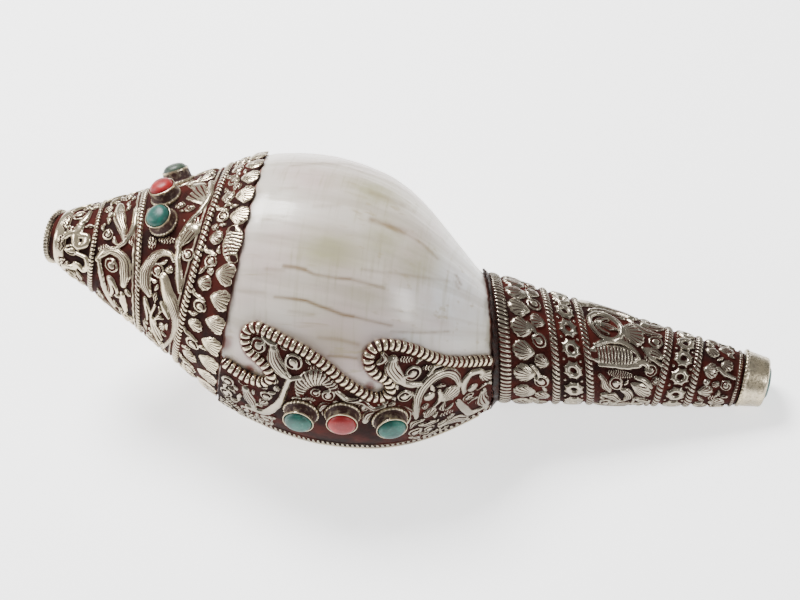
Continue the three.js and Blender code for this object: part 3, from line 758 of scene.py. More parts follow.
    def spiral(self, place, turn, size=2.0, start=0, way=1, high=0.95):
        """A round boss with a scroll cut in it, and a short tail."""
        found = self.around(place, turn, size + 0.3)
        if not found:
            return
        block, x, y = found
        a = ((np.arctan2(y, x) - math.radians(start)) * way) % (2 * math.pi)
        q = np.hypot(x, y) / (size * (1.08 - 0.16 * a / (2 * math.pi)))
        winding = (q - 0.52 - 0.16 * (1 - a / (2 * math.pi))) / 0.62
        depth = smoothstep(a, 0.2, 0.7) * (1 - smoothstep(a, 5.9, 6.2))
        depth *= 1 - smoothstep(np.abs(winding), 0.3, 0.5)
        cut = depth * (0.5 + 0.5 * np.cos(2 * np.pi * winding)) ** 1.5
        self.lift(block, high * np.clip(1 - np.minimum(q, 1) ** 3.5, 0, 1) ** 0.5 * (1 - 0.5 * cut),
                  winding, depth)

    def ball(self, place, turn, size=1.0, high=0.9):
        found = self.around(place, turn, size + 0.3)
        if found:
            block, x, y = found
            q = np.minimum(np.hypot(x, y) / size, 1)
            self.lift(block, high * np.sqrt(1 - q**2))

    def rosette(self, place, turn, size=1.7, points=8, high=0.9):
        """A ring with a hollow middle and small points."""
        found = self.around(place, turn, size * 1.7)
        if found:
            block, x, y = found
            a = np.arctan2(y, x) + 0.4
            d = np.hypot(x, y)
            spread = 1 + 0.7 * np.clip(np.cos(points * a), 0, 1) ** 3 * (d > size * 0.62)
            q = (d - size * 0.68) / (size * 0.33 * spread)
            self.lift(block, high * np.clip(1 - q**2, 0, 1) ** 0.5)

    def belt(self, place, half, pitch=1.0, slant=0.0):
        """All the way round: which points it takes in, how far across each is, and a count round it."""
        rows = np.nonzero(np.abs(self.places - place) < half)[0]
        x = (self.places[rows] - place)[:, None] / half + 0 * self.radius[rows]
        count = round(2 * math.pi * self.radius[rows].mean() / pitch)
        counted = self.turns[None, :] / 360 * count + slant * x / 2
        return np.ix_(rows, np.arange(len(self.turns))), x, counted

    def rope(self, place, half=0.85, pitch=1.25, slant=0.9, high=0.95):
        """A twisted rope."""
        block, x, phase = self.belt(place, half, pitch, slant)
        strand = np.abs(np.sin(np.pi * phase))
        self.lift(block, high * np.sqrt(1 - x**2) * (0.55 + 0.45 * strand**0.6), phase, 0.95)

    def band(self, place, half, high=0.45):
        """A smooth low band."""
        block, x, _ = self.belt(place, half)
        self.lift(block, high * np.clip(1 - x**4, 0, 1))

    def beads(self, place, pitch=0.9, half=0.42, high=0.6):
        """A line of small beads."""
        block, x, phase = self.belt(place, half, pitch)
        self.lift(block, high * np.sqrt(np.clip(1 - x**2, 0, 1)), phase, 0.9)

    def hatch(self, place, turn, size=(2.2, 1.4), aim=0, high=0.4):
        """A patch of engraved zigzag, low over the ground."""
        found = self.around(place, turn, max(size) + 0.3)
        if found:
            block, x, y = found
            c, s = math.cos(math.radians(aim)), math.sin(math.radians(aim))
            u, v = x * c + y * s, y * c - x * s
            inside = 1 - smoothstep(np.hypot(u / size[0], v / size[1]), 0.85, 1)
            zigzag = (u + 0.8 * np.abs((v / 1.3) % 1 - 0.5)) / 0.72
            self.lift(block, high * inside, zigzag, 1.0)

    def room(self, place, turn, most=2.6):
        """How far it is from a place to the nearest raised work."""
        found = self.around(place, turn, most)
        if not found:
            return 0
        block, x, y = found
        away = np.hypot(x, y)[self.height[block] > 0.2]
        return min(away.min(), most) if away.size else most

    def fill(self, start, end, turns=(0, 360), seed=5):
        """Curls, fans and leaves in what ground is still bare, the larger ones first."""
        chance = np.random.default_rng(seed)
        for least, step in ((1.75, 1.5), (1.05, 1.0)):
            for place in np.arange(start + 0.5, end - 0.3, step):
                radius = float(np.interp(place, self.places, self.radius.mean(1)))
                for turn in np.arange(*turns, math.degrees(step / radius)):
                    room = min(self.room(place, turn), place - start + 0.3, end - place + 0.3) - 0.22
                    if room < least - 0.22:
                        continue
                    kind, aim = chance.uniform(), chance.uniform(0, 360)
                    if room > 1.4 and kind < 0.45:
                        self.spiral(place, turn, room * 0.92, start=aim, way=1 if kind < 0.3 else -1,
                                    high=0.8)
                    elif room > 1.1 and kind < 0.75:
                        self.fan(place, turn, aim, room * 1.9, room * 1.75, 4, high=0.85)
                    elif room > 0.75:
                        bend = room * chance.uniform(-0.5, 0.5)
                        self.line(place, turn, [(-room, 0), (0, bend), (room, 0)], [0.1, room * 0.5, 0.1],
                                  high=0.75, comb=3 if room > 1 else 0, aim=aim)


def cap_ground(along, turn):
    return shell_radius(along, turn) + GROUND


def cap_top(along, turn):
    return cap_ground(along, turn) + 0.6


def seen_on_cap(along, up):
    """The band place and turn of a point of the cap that the camera sees at this along and up."""
    upright = along
    for _ in range(3):
        place, turn = seen_on(upright, up, cap_top)
        reach = float(cap_top(place, turn))
        upright = along + END_LEAN * (1 - smoothstep(place, 0, 9)) * reach * sine(turn)
    return float(place - CAP_SLANT(place) * cosine(turn)), turn


cap_places = spaced((0, CAP_EDGE, 0.305))
cap_turns = seen_turns(0.6, 1.05)
cap_mid, cap_turn = np.meshgrid(cap_places, cap_turns, indexing="ij")
cap_along = cap_mid + CAP_SLANT(cap_mid) * cosine(cap_turn)
cap = Chasing(cap_places, cap_turns, shell_radius(cap_along, cap_turn) + GROUND)
HALF_ROUND = 180


def on_cap(points, widths, **how):
    """A line through points of the cap as seen from the back, and its twin on the hidden side."""
    cap.trace([seen_on_cap(*p) for p in points], widths, cap_ground, (0, HALF_ROUND), **how)


def both(motif, along, up, *sizes, **how):
    """A motif of the cap, and its twin half a turn round."""
    place, turn = seen_on_cap(along, up)
    for shift in (0, HALF_ROUND):
        motif(place, turn + shift, *sizes, **how)


# First band: small scrolls beside the blowing end.
for turn in range(0, 360, 60):
    cap.spiral(5.6, turn + 14, 1.5, start=200, way=1)
    cap.line(5.2, turn + 42, [(-1.8, -2.2), (-0.6, -0.6), (1.2, 0.6), (1.6, 2.2)], [0.25, 0.5, 0.6, 0.3])
    cap.hatch(3.9, turn - 12, (1.5, 1.1))
on_cap([(5.8, 7.1), (4.6, 4.5), (4.0, 1.2), (5.2, -1.6), (7.0, -0.6), (6.7, 1.6), (5.2, 1.6)],
       [0.3, 0.5, 0.75, 0.75])
for turn in range(0, 360, 40):
    cap.hatch(3.3, turn, (0.9, 2.4), high=0.62)
on_cap([(5.4, 5.9), (6.6, 8.6)], [0.7, 0.35])
on_cap([(5.2, -3.8), (7.8, -4.4), (8.6, -6.7), (7.6, -8.0), (6.3, -6.9)], [0.35, 0.5, 0.55])
cap.beads(10.6, 1.0, 0.7, 0.8)
cap.band(2.6, 1.5, 0.5)

# Second band: a leaf, a teardrop and two scrolls on bending stems.
on_cap([(14.6, 11.6), (15.1, 8.3), (16.6, 5.0), (17.5, 2.2)], [1.2, 1.75, 1.2, 0.35], comb=5, high=1.0)
on_cap([(19.0, 12.6), (18.8, 5.5), (16.8, 1.4), (14.0, -0.9), (11.1, -2.6)], [0.5, 0.6, 0.5, 0.45, 0.35])
on_cap([(11.0, -4.1), (12.7, -1.6), (15.8, -1.0), (18.3, -2.5), (19.5, -6.6), (19.8, -10.5)],
       [0.4, 0.6, 1.0, 1.45, 1.35, 0.6], comb=5, high=1.0)
on_cap([(11.4, -4.0), (13.4, -9.0), (16.0, -13.5), (19.0, -16.5)], [0.4, 0.6, 0.5, 0.3])
on_cap([(16.0, -9.0), (17.2, -11.2), (17.0, -13.2)], [0.9, 1.25, 0.5], comb=2)
on_cap([(20.0, -12.3), (20.9, -15.0), (22.0, -17.0)], [0.5, 0.9, 0.3])
for turn in (2, 182):
    cap.line(15.5, turn, [(-3.4, -3.5), (-0.5, -2.2), (1.5, 0), (0.5, 2.6), (-2.6, 3.4)],
             [0.4, 0.8, 1.3, 0.8, 0.3], comb=3)
    cap.spiral(14.2, turn + 9, 1.5, start=30, way=1)
    cap.line(19, turn + 4, [(0, -3), (0.8, 0), (0, 3)], [0.3, 0.6, 0.3])
cap.rope(23.8, 0.85, 1.25)
cap.line(22.3, 90, [(0, -80), (0, 80)], [0.22, 0.22], high=0.35)

# Main band: a great scroll of leaf, fans on a tapered stem, teardrops, and the three stones.
on_cap([(31.9, 0.2), (31.0, 1.6), (29.4, 1.9), (27.1, 0.5), (25.6, -2.2), (24.9, -5.3), (25.3, -8.0),
        (27.0, -10.6)],
       [0.3, 0.6, 0.85, 1.0, 1.35, 1.8, 1.8, 0.8], comb=6, high=1.1)
on_cap([(30.3, -6.4), (31.9, -9.4), (34.2, -12.8), (35.6, -15.6), (36.1, -20.2), (34.3, -24.2)],
       [1.3, 2.2, 1.4, 0.5, 0.4, 0.3], comb=7, high=1.1)
on_cap([(32.1, 6.0), (32.6, 3.0), (32.9, 0.4), (34.1, -3.7), (35.2, -8.7)], [0.45, 0.55, 0.6, 0.95, 0.3],
       high=1.05)
on_cap([(32.4, 4.2), (33.6, 6.8), (35.1, 9.4)], [0.7, 1.6, 1.9], comb=5, high=1.1)
on_cap([(36.9, 17.6), (35.0, 19.3), (33.6, 21.2)], [0.7, 1.9, 2.1], comb=5)
on_cap([(38.0, 24.0), (38.0, 19.6), (36.4, 15.2), (33.8, 11.0), (32.6, 8.0)], [0.45, 0.5, 0.5, 0.45, 0.3])
on_cap([(26.1, -12.4), (27.0, -14.8), (27.6, -17.4)], [0.7, 1.4, 0.5], comb=2)
on_cap([(31.0, -12.6), (32.4, -14.4), (33.9, -16.2)], [0.5, 1.1, 0.3])
on_cap([(29.4, -17.4), (31.2, -20.2), (33.2, -22.4)], [0.8, 1.5, 0.5], comb=3)
on_cap([(29.3, -13.5), (28.6, -16.5), (29.4, -19.2), (32.0, -22.8)], [0.25, 0.35, 0.35, 0.25])
for turn in (6, 186):
    cap.line(30, turn, [(-4.5, -4), (-1.5, -3.6), (1.5, -1.5), (2.4, 2), (0.6, 4.8), (-2.4, 5)],
             [0.4, 0.9, 1.5, 1.4, 0.9, 0.4], comb=4)
    cap.spiral(28.2, turn + 3, 1.9, start=-50, way=1)
    cap.fan(35.0, turn - 7, aim=20)
    cap.fan(34.6, turn + 14, aim=-30, length=4.4, width=4)
    cap.hatch(25.4, turn + 14, (1.2, 2.0))
    cap.spiral(33.6, turn - 16, 1.6, start=90, way=-1)
cap.rope(40.2, 1.0, 1.4)
cap.line(38.3, 90, [(0, -90), (0, 90)], [0.22, 0.22], high=0.3)

# The scrolls of these bands, their hatched ground and small balls: along, up, size, and how turned.
for along, up, size, start, way in (
    (12.5, 3.4, 1.6, 100, -1), (15.3, -5.0, 1.9, 60, 1), (27.9, -3.7, 2.0, -80, 1),
    (35.4, 2.2, 1.75, 160, -1), (33.4, 15.3, 1.1, 0, 1),
):
    both(cap.spiral, along, up, size, start, way)
for along, up, size, aim in (
    (12.1, -0.6, (1.7, 1.0), 30), (19.3, 3.2, (0.9, 1.9), 0), (25.0, 3.6, (1.3, 2.0), 0),
    (29.0, 5.2, (2.4, 1.2), 0), (28.9, -11.2, (0.9, 1.9), 0), (36.0, 11.6, (0.8, 2.0), 0),
    (35.0, -7.0, (0.8, 1.7), 0),
):
    both(cap.hatch, along, up, size, aim)
for along, up, size in ((12.4, 9.2, 1.0), (18.6, -13.0, 0.8), (25.4, -20.6, 1.0)):
    both(cap.ball, along, up, size)

# Last bands: small fans and curls in turn, and a row of scallops with one of double width.
STEP_ROUND = 24
for turn in range(-14, 346, STEP_ROUND):
    cap.fan(43.9, turn, length=3.9, width=4.3, comb=5, high=1.0)
    cap.spiral(44.0, turn + 11.5, 1.75, start=-40)
    cap.line(43.6, turn + 12, [(-2.2, 3.4), (-1.6, 2.4), (-0.4, 2.2), (1.2, 1.6)],
             [0.15, 0.3, 0.35, 0.25])
WIDE_SCALLOP = 103
FIRST_SCALLOP = WIDE_SCALLOP + 14.6
SCALLOP_STEP = 12.26
SCALLOPS = 28
cap.line(48.9, WIDE_SCALLOP, [(0.7, -3.2), (0.1, -1.2), (-0.1, 1.2), (-0.5, 3.4)], [1.7, 2.2, 2.2, 1.7],
         ribs=0.95, high=1.15, fullness=3.4)
for n in range(SCALLOPS):
    turn = FIRST_SCALLOP + SCALLOP_STEP * n
    cap.fan(48.9, turn, aim=6 * math.sin(n * 2.1), length=5.4, width=6.0 + 0.5 * math.sin(n * 1.7),
            comb=7, high=1.15)
for band in ((4.2, 9.8), (11.4, 22.8), (24.8, 39.0), (41.2, 47.5)):
    cap.fill(*band)

# The stones stand on plain ground.
CAP_STONES = [(28.9, 116, "turquoise"), (27.6, 142, "coral"), (29.4, 168, "old_turquoise")]
for along, turn, _ in CAP_STONES:
    block, x, y = cap.around(float(along - CAP_SLANT(along) * cosine(turn)), turn, 6.2)
    cap.height[block] *= smoothstep(np.hypot(x, y), 4.3, 5.0)

# The sheet grows thinner toward its edge, which follows the scallops. No work stands above the limit.
CHASED_LIMIT = 1.2
bulge = np.abs(np.cos(np.radians(cap_turn - FIRST_SCALLOP) / SCALLOP_STEP * 180)) ** 0.7
cap_along += (bulge - 0.3) * smoothstep(cap_mid, 46, CAP_EDGE) * 0.9
thinner = 1 - 0.5 * smoothstep(cap_mid, 45, CAP_EDGE)
outside = at(cap_along, cap_turn, shell_radius(cap_along, cap_turn)
             + (GROUND + np.minimum(cap.height, CHASED_LIMIT)) * thinner)
inner_mid = cap_mid[::-12]
inner_along = cap_along[::-12]
inside = at(inner_along, cap_turn[::-12], shell_radius(inner_along, cap_turn[::-12]) + CLEARANCE)
rings = np.concatenate([leaned(outside, cap_mid), leaned(inside, inner_mid)])


def chasing_marks(chased, lining):
    """The heights and cuts of chased work, for its finish, with nothing on the lining."""
    blank = np.zeros_like(lining)
    return {
        "relief": np.concatenate([chased.height, blank]),
        "phase": np.concatenate([chased.phase, blank]),
        "depth": np.concatenate([chased.depth, blank]),
    }


apex_cap = net("chased_cap", rings, wrap_rings=True, marks=chasing_marks(cap, inner_mid))


LAC_DARK = (0.010, 0.0018, 0.001)
LAC_RED = (0.050, 0.0065, 0.0035)
SILVER_WARM = (0.52, 0.44, 0.30)
SILVER_COOL = (0.36, 0.32, 0.245)
SILVER_TARNISH = (0.16, 0.11, 0.07)


def chased_silver(name, warm, cool):
    """Silver, bright where it stands high, with dark red lac where it lies low and in every cut."""
    made = Surface(name)
    rough = made.noise(900, 3)
    broad = made.noise(120, 3)
    spread = made.combined("MULTIPLY", made.combined("SUBTRACT", rough, 0.5), 0.3)
    level = made.combined("ADD", made.attribute("relief"), spread)
    turns = made.combined("MULTIPLY", made.attribute("phase"), 2 * math.pi)
    wave = made.combined("MULTIPLY_ADD", made.combined("COSINE", turns, 0), 0.5)
    groove = made.combined("MULTIPLY", made.combined("POWER", wave, 1.8), made.attribute("depth"))
    level = made.combined("SUBTRACT", level, made.combined("MULTIPLY", groove, 1.25))
    bare = made.ranged(level, 0.12, 0.4)
    lac = made.blended(made.ranged(broad, 0.35, 0.7), LAC_DARK, LAC_RED)
    metal = made.blended(made.ranged(broad, 0.3, 0.7), warm, cool)
    metal = made.blended(made.ranged(rough, 0.55, 0.85, 0, 0.5), metal, SILVER_TARNISH)
    made.set(Specular_IOR_Level=0.12)
    made.feed(Base_Color=made.blended(bare, lac, metal), Metallic=made.ranged(bare, 0, 1, 0, 0.92),
              Roughness=made.ranged(bare, 0, 1, 0.8, 0.23))
    made.bumped(made.combined("SUBTRACT", made.combined("MULTIPLY", rough, 0.3), groove), 0.35, 0.0003)
    return made


# Two copies of the one chased silver: the cap's and the cord's painted lighter (painted light), the sleeve's
# and the lip mount's painted darker (painted shade).
silver = chased_silver("chased_silver", (0.68, 0.57, 0.39), (0.45, 0.39, 0.29))
shaded_silver = chased_silver("shaded_silver", (0.37, 0.325, 0.25), (0.25, 0.225, 0.18))
# The cap takes the copy of the silver painted lighter: painted light.
finished(apex_cap, silver, "apex_cap")

# Mouthpiece ring
# A thin milled wire of silver soldered round the cap's cut end, with small teeth all the way round.
RING_RADIUS = 7.6
TEETH = 46
ring_turns = np.arange(0, 360, 360 / (TEETH * 4))
toothed = RING_RADIUS - 0.35 * (0.5 + 0.5 * np.cos(np.radians(ring_turns) * TEETH)) ** 2
section = [(-1.5, -0.45), (-1.6, -0.1), (-1.35, 0.0), (-0.6, 0.0), (-0.35, -0.25), (-0.35, -3.2),
           (-1.3, -3.4)]
ring = net("mouthpiece_ring", np.stack([
    leaned(at(along, ring_turns, toothed + inwards), along) for along, inwards in section
]), wrap_rings=True)


plain_silver = Surface("plain_silver", metallic=0.95)
broad = plain_silver.noise(140, 4)
fine = plain_silver.noise(1400, 3)
metal = plain_silver.blended(plain_silver.ranged(broad, 0.3, 0.7), SILVER_WARM, SILVER_COOL)
metal = plain_silver.blended(plain_silver.ranged(fine, 0.5, 0.8, 0, 0.6), metal, SILVER_TARNISH)
metal = plain_silver.blended(plain_silver.ranged(broad, 0.58, 0.78, 0, 0.8), metal, (0.12, 0.06, 0.04))
plain_silver.feed(Base_Color=metal, Roughness=plain_silver.ranged(fine, 0.3, 0.8, 0.22, 0.5))
plain_silver.bumped(fine, 0.3, 0.0002)
ring.data.set_sharp_from_angle(angle=math.radians(50))
finished(ring, plain_silver, "mouthpiece_ring")

# Silver sleeve on the canal
# A tapered tube of chased silver: a collar of big lobes against the shell, rosettes between twisted
# ropes, a wide panel of fans, leaves and scrolls, and a plain worn end.
SLEEVE_END = 192
SLEEVE_START = COLLAR_ALONG - 1.2
sleeve_places = np.append(spaced((SLEEVE_START, 191.8, 0.31)), SLEEVE_END)
sleeve_turns = seen_turns(0.95, 1.6)
sleeve_mid, sleeve_turn = np.meshgrid(sleeve_places, sleeve_turns, indexing="ij")
sleeve_along = sleeve_mid + COLLAR_SLANT * (1 - smoothstep(sleeve_mid, 150, 172)) * cosine(sleeve_turn)
sleeve = Chasing(sleeve_places, sleeve_turns,
                 off_axis(sleeve_along, sleeve_turn, sleeve_radius(sleeve_along)))


def nearer(place):
    """Places read off the picture plane, moved to the near side of the sleeve."""
    return LOOK_AT[0] + (place - LOOK_AT[0]) * (1 - 0.016 / CAMERA_AWAY)


def stem_radius(place, _):
    return sleeve_radius(place)


def on_sleeve(points, widths, **how):
    """A line through (place, turn) points of the sleeve, and its twin half a turn round."""
    sleeve.trace(points, widths, stem_radius, (0, HALF_ROUND), nearer, **how)


def scallop(foot, tip, width, **how):
    """A fan of the sleeve, and its twin half a turn round."""
    sleeve.scallop(foot, tip, width, stem_radius, (0, HALF_ROUND), nearer, **how)


def twice(motif, place, turn, *sizes, **how):
    """A motif of the sleeve, and its twin half a turn round."""
    for shift in (0, HALF_ROUND):
        motif(nearer(place), turn + shift, *sizes, **how)


BIG_FANS = 17
SMALL_FANS = 9
sleeve.rope(nearer(125.3), 1.75, 1.25, slant=0.25, high=0.85)
for n in range(BIG_FANS):
    turn = 116 - 360 / BIG_FANS * n
    sleeve.fan(nearer(130.6), turn, aim=176, length=6.2, width=5.9, comb=6, high=1.15)
for n in range(SMALL_FANS):
    turn = 126 - 360 / SMALL_FANS * n
    sleeve.spiral(nearer(135.4), turn, 2.1, start=150)
    sleeve.fan(nearer(135.6), turn - 20, aim=172, length=4.3, width=4.4, comb=5)
    sleeve.line(nearer(133.9), turn + 10, [(-1.4, 1.6), (0, 0.2), (0.8, -1.4)], [0.2, 0.4, 0.2])
sleeve.rope(nearer(139.6), 1.15, 1.35)
ROSETTES = 16
for n in range(ROSETTES):
    turn = 61 + 360 / ROSETTES * n
    sleeve.rosette(nearer(144.4), turn, 2.35)
    sleeve.ball(nearer(141.9), turn + 11, 0.45, high=0.45)
    sleeve.ball(nearer(146.7), turn + 11, 0.45, high=0.45)
sleeve.rope(nearer(149.0), 1.15, 1.35)

# The wide panel.
MEDALLION = (155.7, 123)
circle = [(4.1 * math.cos(a), 4.3 * math.sin(a)) for a in np.linspace(0, 2 * math.pi, 19)]
twice(sleeve.line, *MEDALLION, circle, [0.55, 0.55], high=1.1)
on_sleeve([(153.4, 126), (154.7, 130), (156.6, 134)], [0.3, 0.8, 0.3], comb=2)
on_sleeve([(154.6, 123.5), (156.6, 122.5), (158.4, 121.5)], [0.4, 1.1, 0.3], comb=3)
on_sleeve([(153.4, 119), (154.3, 115), (156.0, 112)], [0.3, 0.8, 0.3], comb=2)
on_sleeve([(152.6, 122), (153.6, 121.5)], [0.3, 0.5])
on_sleeve([(149.9, 156), (152.5, 170), (156, 180), (160, 176), (162.6, 164)], [1.1, 1.9, 2.0, 1.9, 1.0],
          comb=7, fullness=3, high=1.1)
on_sleeve([(152.6, 146), (156.4, 155), (160.6, 150)], [0.5, 0.9, 0.4], comb=3)
scallop((159.8, 119), (165.4, 124), 8.0, comb=7, high=1.1)
on_sleeve([(151.9, 82), (155.2, 84), (158.8, 86), (162.4, 88)], [1.9, 2.4, 2.4, 1.5], ribs=0.95,
          fullness=3, high=1.1)
on_sleeve([(151.7, 93), (155.5, 101), (159.3, 104), (162.6, 97), (164.0, 88)], [0.4, 0.6, 0.7, 0.6, 0.4])
on_sleeve([(152.2, 71), (156.2, 73), (160.2, 74), (164.4, 78)], [0.35, 0.6, 0.7, 0.5])
on_sleeve([(163.4, 79), (165.4, 83), (166.6, 81), (167.2, 77)], [0.3, 0.6, 0.7, 0.4])
on_sleeve([(166.6, 101), (168.4, 99), (170.0, 96)], [0.9, 1.5, 0.7], comb=4)
scallop((162.0, 55), (169.4, 35), 4.6, comb=6, high=1.1)
on_sleeve([(165.2, 103), (167.6, 92), (170.8, 84)], [0.35, 0.5, 0.35])
on_sleeve([(163.4, 63), (166.7, 59), (169.1, 50)], [0.35, 0.7, 0.4])
on_sleeve([(151.9, 60), (153.0, 54), (153.2, 47), (154.6, 40)], [0.4, 0.8, 1.2, 0.5], comb=4)
on_sleeve([(158.9, 44), (160.8, 40), (161.6, 32), (160.4, 25)], [0.5, 1.3, 1.5, 0.6], comb=5)
on_sleeve([(164.4, 30), (167.0, 24), (169.4, 22)], [0.4, 1.2, 0.5], comb=4)
on_sleeve([(152.6, 34), (155.6, 30), (157.6, 22)], [0.5, 1.6, 0.8], comb=5)
on_sleeve([(156.0, 12), (160.0, 15), (163.6, 12)], [0.6, 1.3, 0.6], comb=4)
on_sleeve([(163.6, 140), (165.8, 134), (169.4, 132)], [0.5, 1.2, 0.4], comb=4)
on_sleeve([(165.4, 150), (168.2, 152), (170.2, 160)], [0.6, 1.4, 0.6], comb=5)
for place, turn, size, start, way in (
    (156.9, 51, 2.3, 20, 1), (167.9, 75, 1.9, 200, 1), (168.5, 118, 1.9, -60, -1),
    (170.0, 61, 1.3, 90, 1), (153.6, 14, 2.0, 40, 1), (166.4, 9, 2.0, 140, 1),
):
    twice(sleeve.spiral, place, turn, size, start, way)
for place, turn, size in ((158.2, 64, (4.6, 1.3)), (160.6, 110, (1.2, 1.9)), (166.8, 91, (1.2, 2.2))):
    twice(sleeve.hatch, place, turn, size)
sleeve.rope(nearer(171.9), 1.15, 1.3)
SMALL_ROSETTES = 12
for n in range(SMALL_ROSETTES):
    turn = 102 + 360 / SMALL_ROSETTES * n
    sleeve.rosette(nearer(176.7), turn, 2.35)
    for away in (-2.4, 2.4):
        sleeve.ball(nearer(176.7 + away), turn + 15, 0.45, high=0.45)
sleeve.rope(nearer(180.8), 1.1, 1.25)
for shift in (0, 120, 240):
    sleeve.fan(nearer(184.9), 91 + shift, length=4.2, width=5.0, comb=6, high=1.1)
    sleeve.fan(nearer(189.2), 108 + shift, aim=-5, length=3.6, width=4.0, comb=5)
    sleeve.spiral(nearer(190.0), 69 + shift, 1.6, start=60)
    sleeve.line(nearer(189.4), 90 + shift, [(-2.4, 1.4), (-0.6, 0.2), (2.4, -0.6)], [0.3, 0.6, 0.4])
    sleeve.fan(nearer(184.6), 53 + shift, aim=15, length=4.2, width=4.2, comb=5)
    sleeve.fan(nearer(188.6), 28 + shift, aim=10, length=4.6, width=4.0, comb=5)
    sleeve.fan(nearer(184.6), 130 + shift, aim=-20, length=4.2, width=3.8, comb=5)
    sleeve.ball(nearer(184.4), 70 + shift, 1.0)
    sleeve.hatch(nearer(186.8), 40 + shift, (1.4, 1.0))
sleeve.beads(nearer(193.0), 0.9, 0.5, 0.6)
for band in ((126.9, 137.0), (149.4, 169.2), (180.6, 189.6)):
    sleeve.fill(*band, seed=8)
sheet_radius = sleeve_radius(sleeve_along) - 0.9 + np.minimum(sleeve.height, CHASED_LIMIT)
outside = at(sleeve_along, sleeve_turn, off_axis(sleeve_along, sleeve_turn, sheet_radius))
inner_along, inner_turn = sleeve_along[::-12], sleeve_turn[::-12]
inside = at(inner_along, inner_turn, shell_radius(inner_along, inner_turn) + CLEARANCE)
canal_sleeve = net("chased_sleeve", np.concatenate([outside, inside]), wrap_rings=True,
                   marks=chasing_marks(sleeve, inner_along))
# The sleeve takes the copy of the silver painted darker: painted shade.
finished(canal_sleeve, shaded_silver, "canal_sleeve")

# Ferrule and the stone in the tip
# A plain silver cup closes the end of the canal, with a thin milled ring where it meets the sleeve and
# a rounded rim. A turquoise stands in its recess.
FERRULE_PROFILE = [
    (192.3, 0.5), (192.3, 7.7), (192.5, 8.1), (193.1, 8.1), (193.3, 7.75), (193.8, 7.75), (197.6, 7.15),
    (198.6, 7.05), (199.1, 6.85), (199.4, 6.4), (199.3, 5.9), (198.9, 5.45), (197.8, 5.35), (197.8, 0.5),
]
ferrule_turns = np.arange(0, 360, 2.0)
milled = 1 + 0.03 * np.cos(np.radians(ferrule_turns) * 45)
rings = []
for along, radius in FERRULE_PROFILE:
    on_wire = 192.4 < along < 193.2
    rings.append(at(along, ferrule_turns, radius * np.minimum(milled, 1.0) if on_wire else radius))
ferrule = net("tip_cup", np.stack(rings), wall="poles")
ferrule.data.set_sharp_from_angle(angle=math.radians(55))
finished(ferrule, plain_silver, "tip_ferrule")

dome = [(198.1, 4.6), (198.2, 4.95), (199.1, 5.0), (199.8, 4.7), (200.3, 3.9), (200.5, 2.8),
        (200.67, 1.4), (200.7, 0.3)]
tip_turns = np.arange(0, 360, 9.0)
uneven = 1 + 0.02 * np.cos(2 * np.radians(tip_turns))
tip_stone = net("tip_turquoise", np.stack([at(a, tip_turns, r * uneven) for a, r in dome]), wall="poles")


def polished_stone(name, base, deep, pale, veins=0.35):
    """An opaque stone, mottled, with dark veins and tiny pits."""
    made = Surface(name, roughness=0.42)
    made.set(Specular_IOR_Level=0.35)
    cloud = made.noise(260, 5)
    speck = made.noise(1100, 3)
    colour = made.blended(made.ranged(cloud, 0.35, 0.62), base, deep)
    colour = made.blended(made.ranged(speck, 0.55, 0.75, 0, 0.6), colour, pale)
    vein = made.combined("ABSOLUTE", made.combined("SUBTRACT", cloud, 0.5), 0)
    made.feed(Base_Color=made.blended(made.ranged(vein, 0.018, 0.0, 0, veins), colour,
                                      (0.03, 0.025, 0.02)))
    made.bumped(speck, 0.12, 0.0003)
    return made


turquoise = polished_stone("turquoise", (0.010, 0.105, 0.078), (0.006, 0.055, 0.045), (0.05, 0.17, 0.125))
old_turquoise = polished_stone("greyed_turquoise", (0.045, 0.065, 0.045), (0.02, 0.034, 0.026),
                               (0.09, 0.11, 0.08))
coral = polished_stone("coral", (0.30, 0.014, 0.014), (0.19, 0.008, 0.009), (0.40, 0.05, 0.04), veins=0.1)
STONES = {"turquoise": turquoise, "old_turquoise": old_turquoise, "coral": coral}
finished(tip_stone, turquoise, "tip_stone")

# Lac seam
# Dark brown lac squeezed out between the shell and the collar, uneven along its edge.
seam_turns = np.arange(0, 360, 1.5)
seam_edge = collar_along(seam_turns)
uneven = 0.22 * np.sin(np.radians(seam_turns) * 11) + 0.15 * np.sin(np.radians(seam_turns) * 29 + 1)
profile = [(2.9, 0.0), (2.85, 0.4), (2.5, 0.75), (2.1, 0.9), (1.7, 0.85), (1.35, 0.6), (1.35, 0.0)]
rings = []
for before, proud in profile:
    along = seam_edge - before - (uneven if before > 2 else 0)
    standing = 0.6 + proud * (1 + 0.3 * uneven)
    rings.append(at(along, seam_turns, shell_radius(along, seam_turns) + standing))
seam = net("lac_seam_bead", np.stack(rings), wrap_rings=True)
lac = Surface("aged_lac")
lac.set(Specular_IOR_Level=0.2)
crust = lac.noise(700, 5)
colour = lac.blended(lac.ranged(crust, 0.35, 0.65), (0.008, 0.004, 0.003), (0.025, 0.008, 0.005))
colour = lac.blended(lac.ranged(crust, 0.62, 0.8, 0, 0.5), colour, (0.08, 0.04, 0.02))
lac.feed(Base_Color=colour, Roughness=lac.ranged(crust, 0.3, 0.7, 0.4, 0.75))
lac.bumped(crust, 0.7, 0.0006)
finished(seam, lac, "lac_seam")

# Lip mount
# Sheet silver bent round the outer lip and cut along a curling line, with stems, fans, leaves and
# scrolls chased on it. A ribbed cord of silver is soldered along the cut.
MOUNT_FROM = 52.1
MOUNT_LOWEST = 6.9
MOUNT_HIGHEST = 80
mount_places = spaced((MOUNT_FROM, 126.4, 0.26))
mount_turns = np.arange(MOUNT_LOWEST, MOUNT_HIGHEST, 0.42)
mount_along, mount_turn = np.meshgrid(mount_places, mount_turns, indexing="ij")
mount_ground = shell_radius(mount_along, mount_turn) + GROUND
mount = Chasing(mount_places, mount_turns, mount_ground)


def mount_top(along, turn):
    return shell_radius(along, turn) + GROUND + 0.5


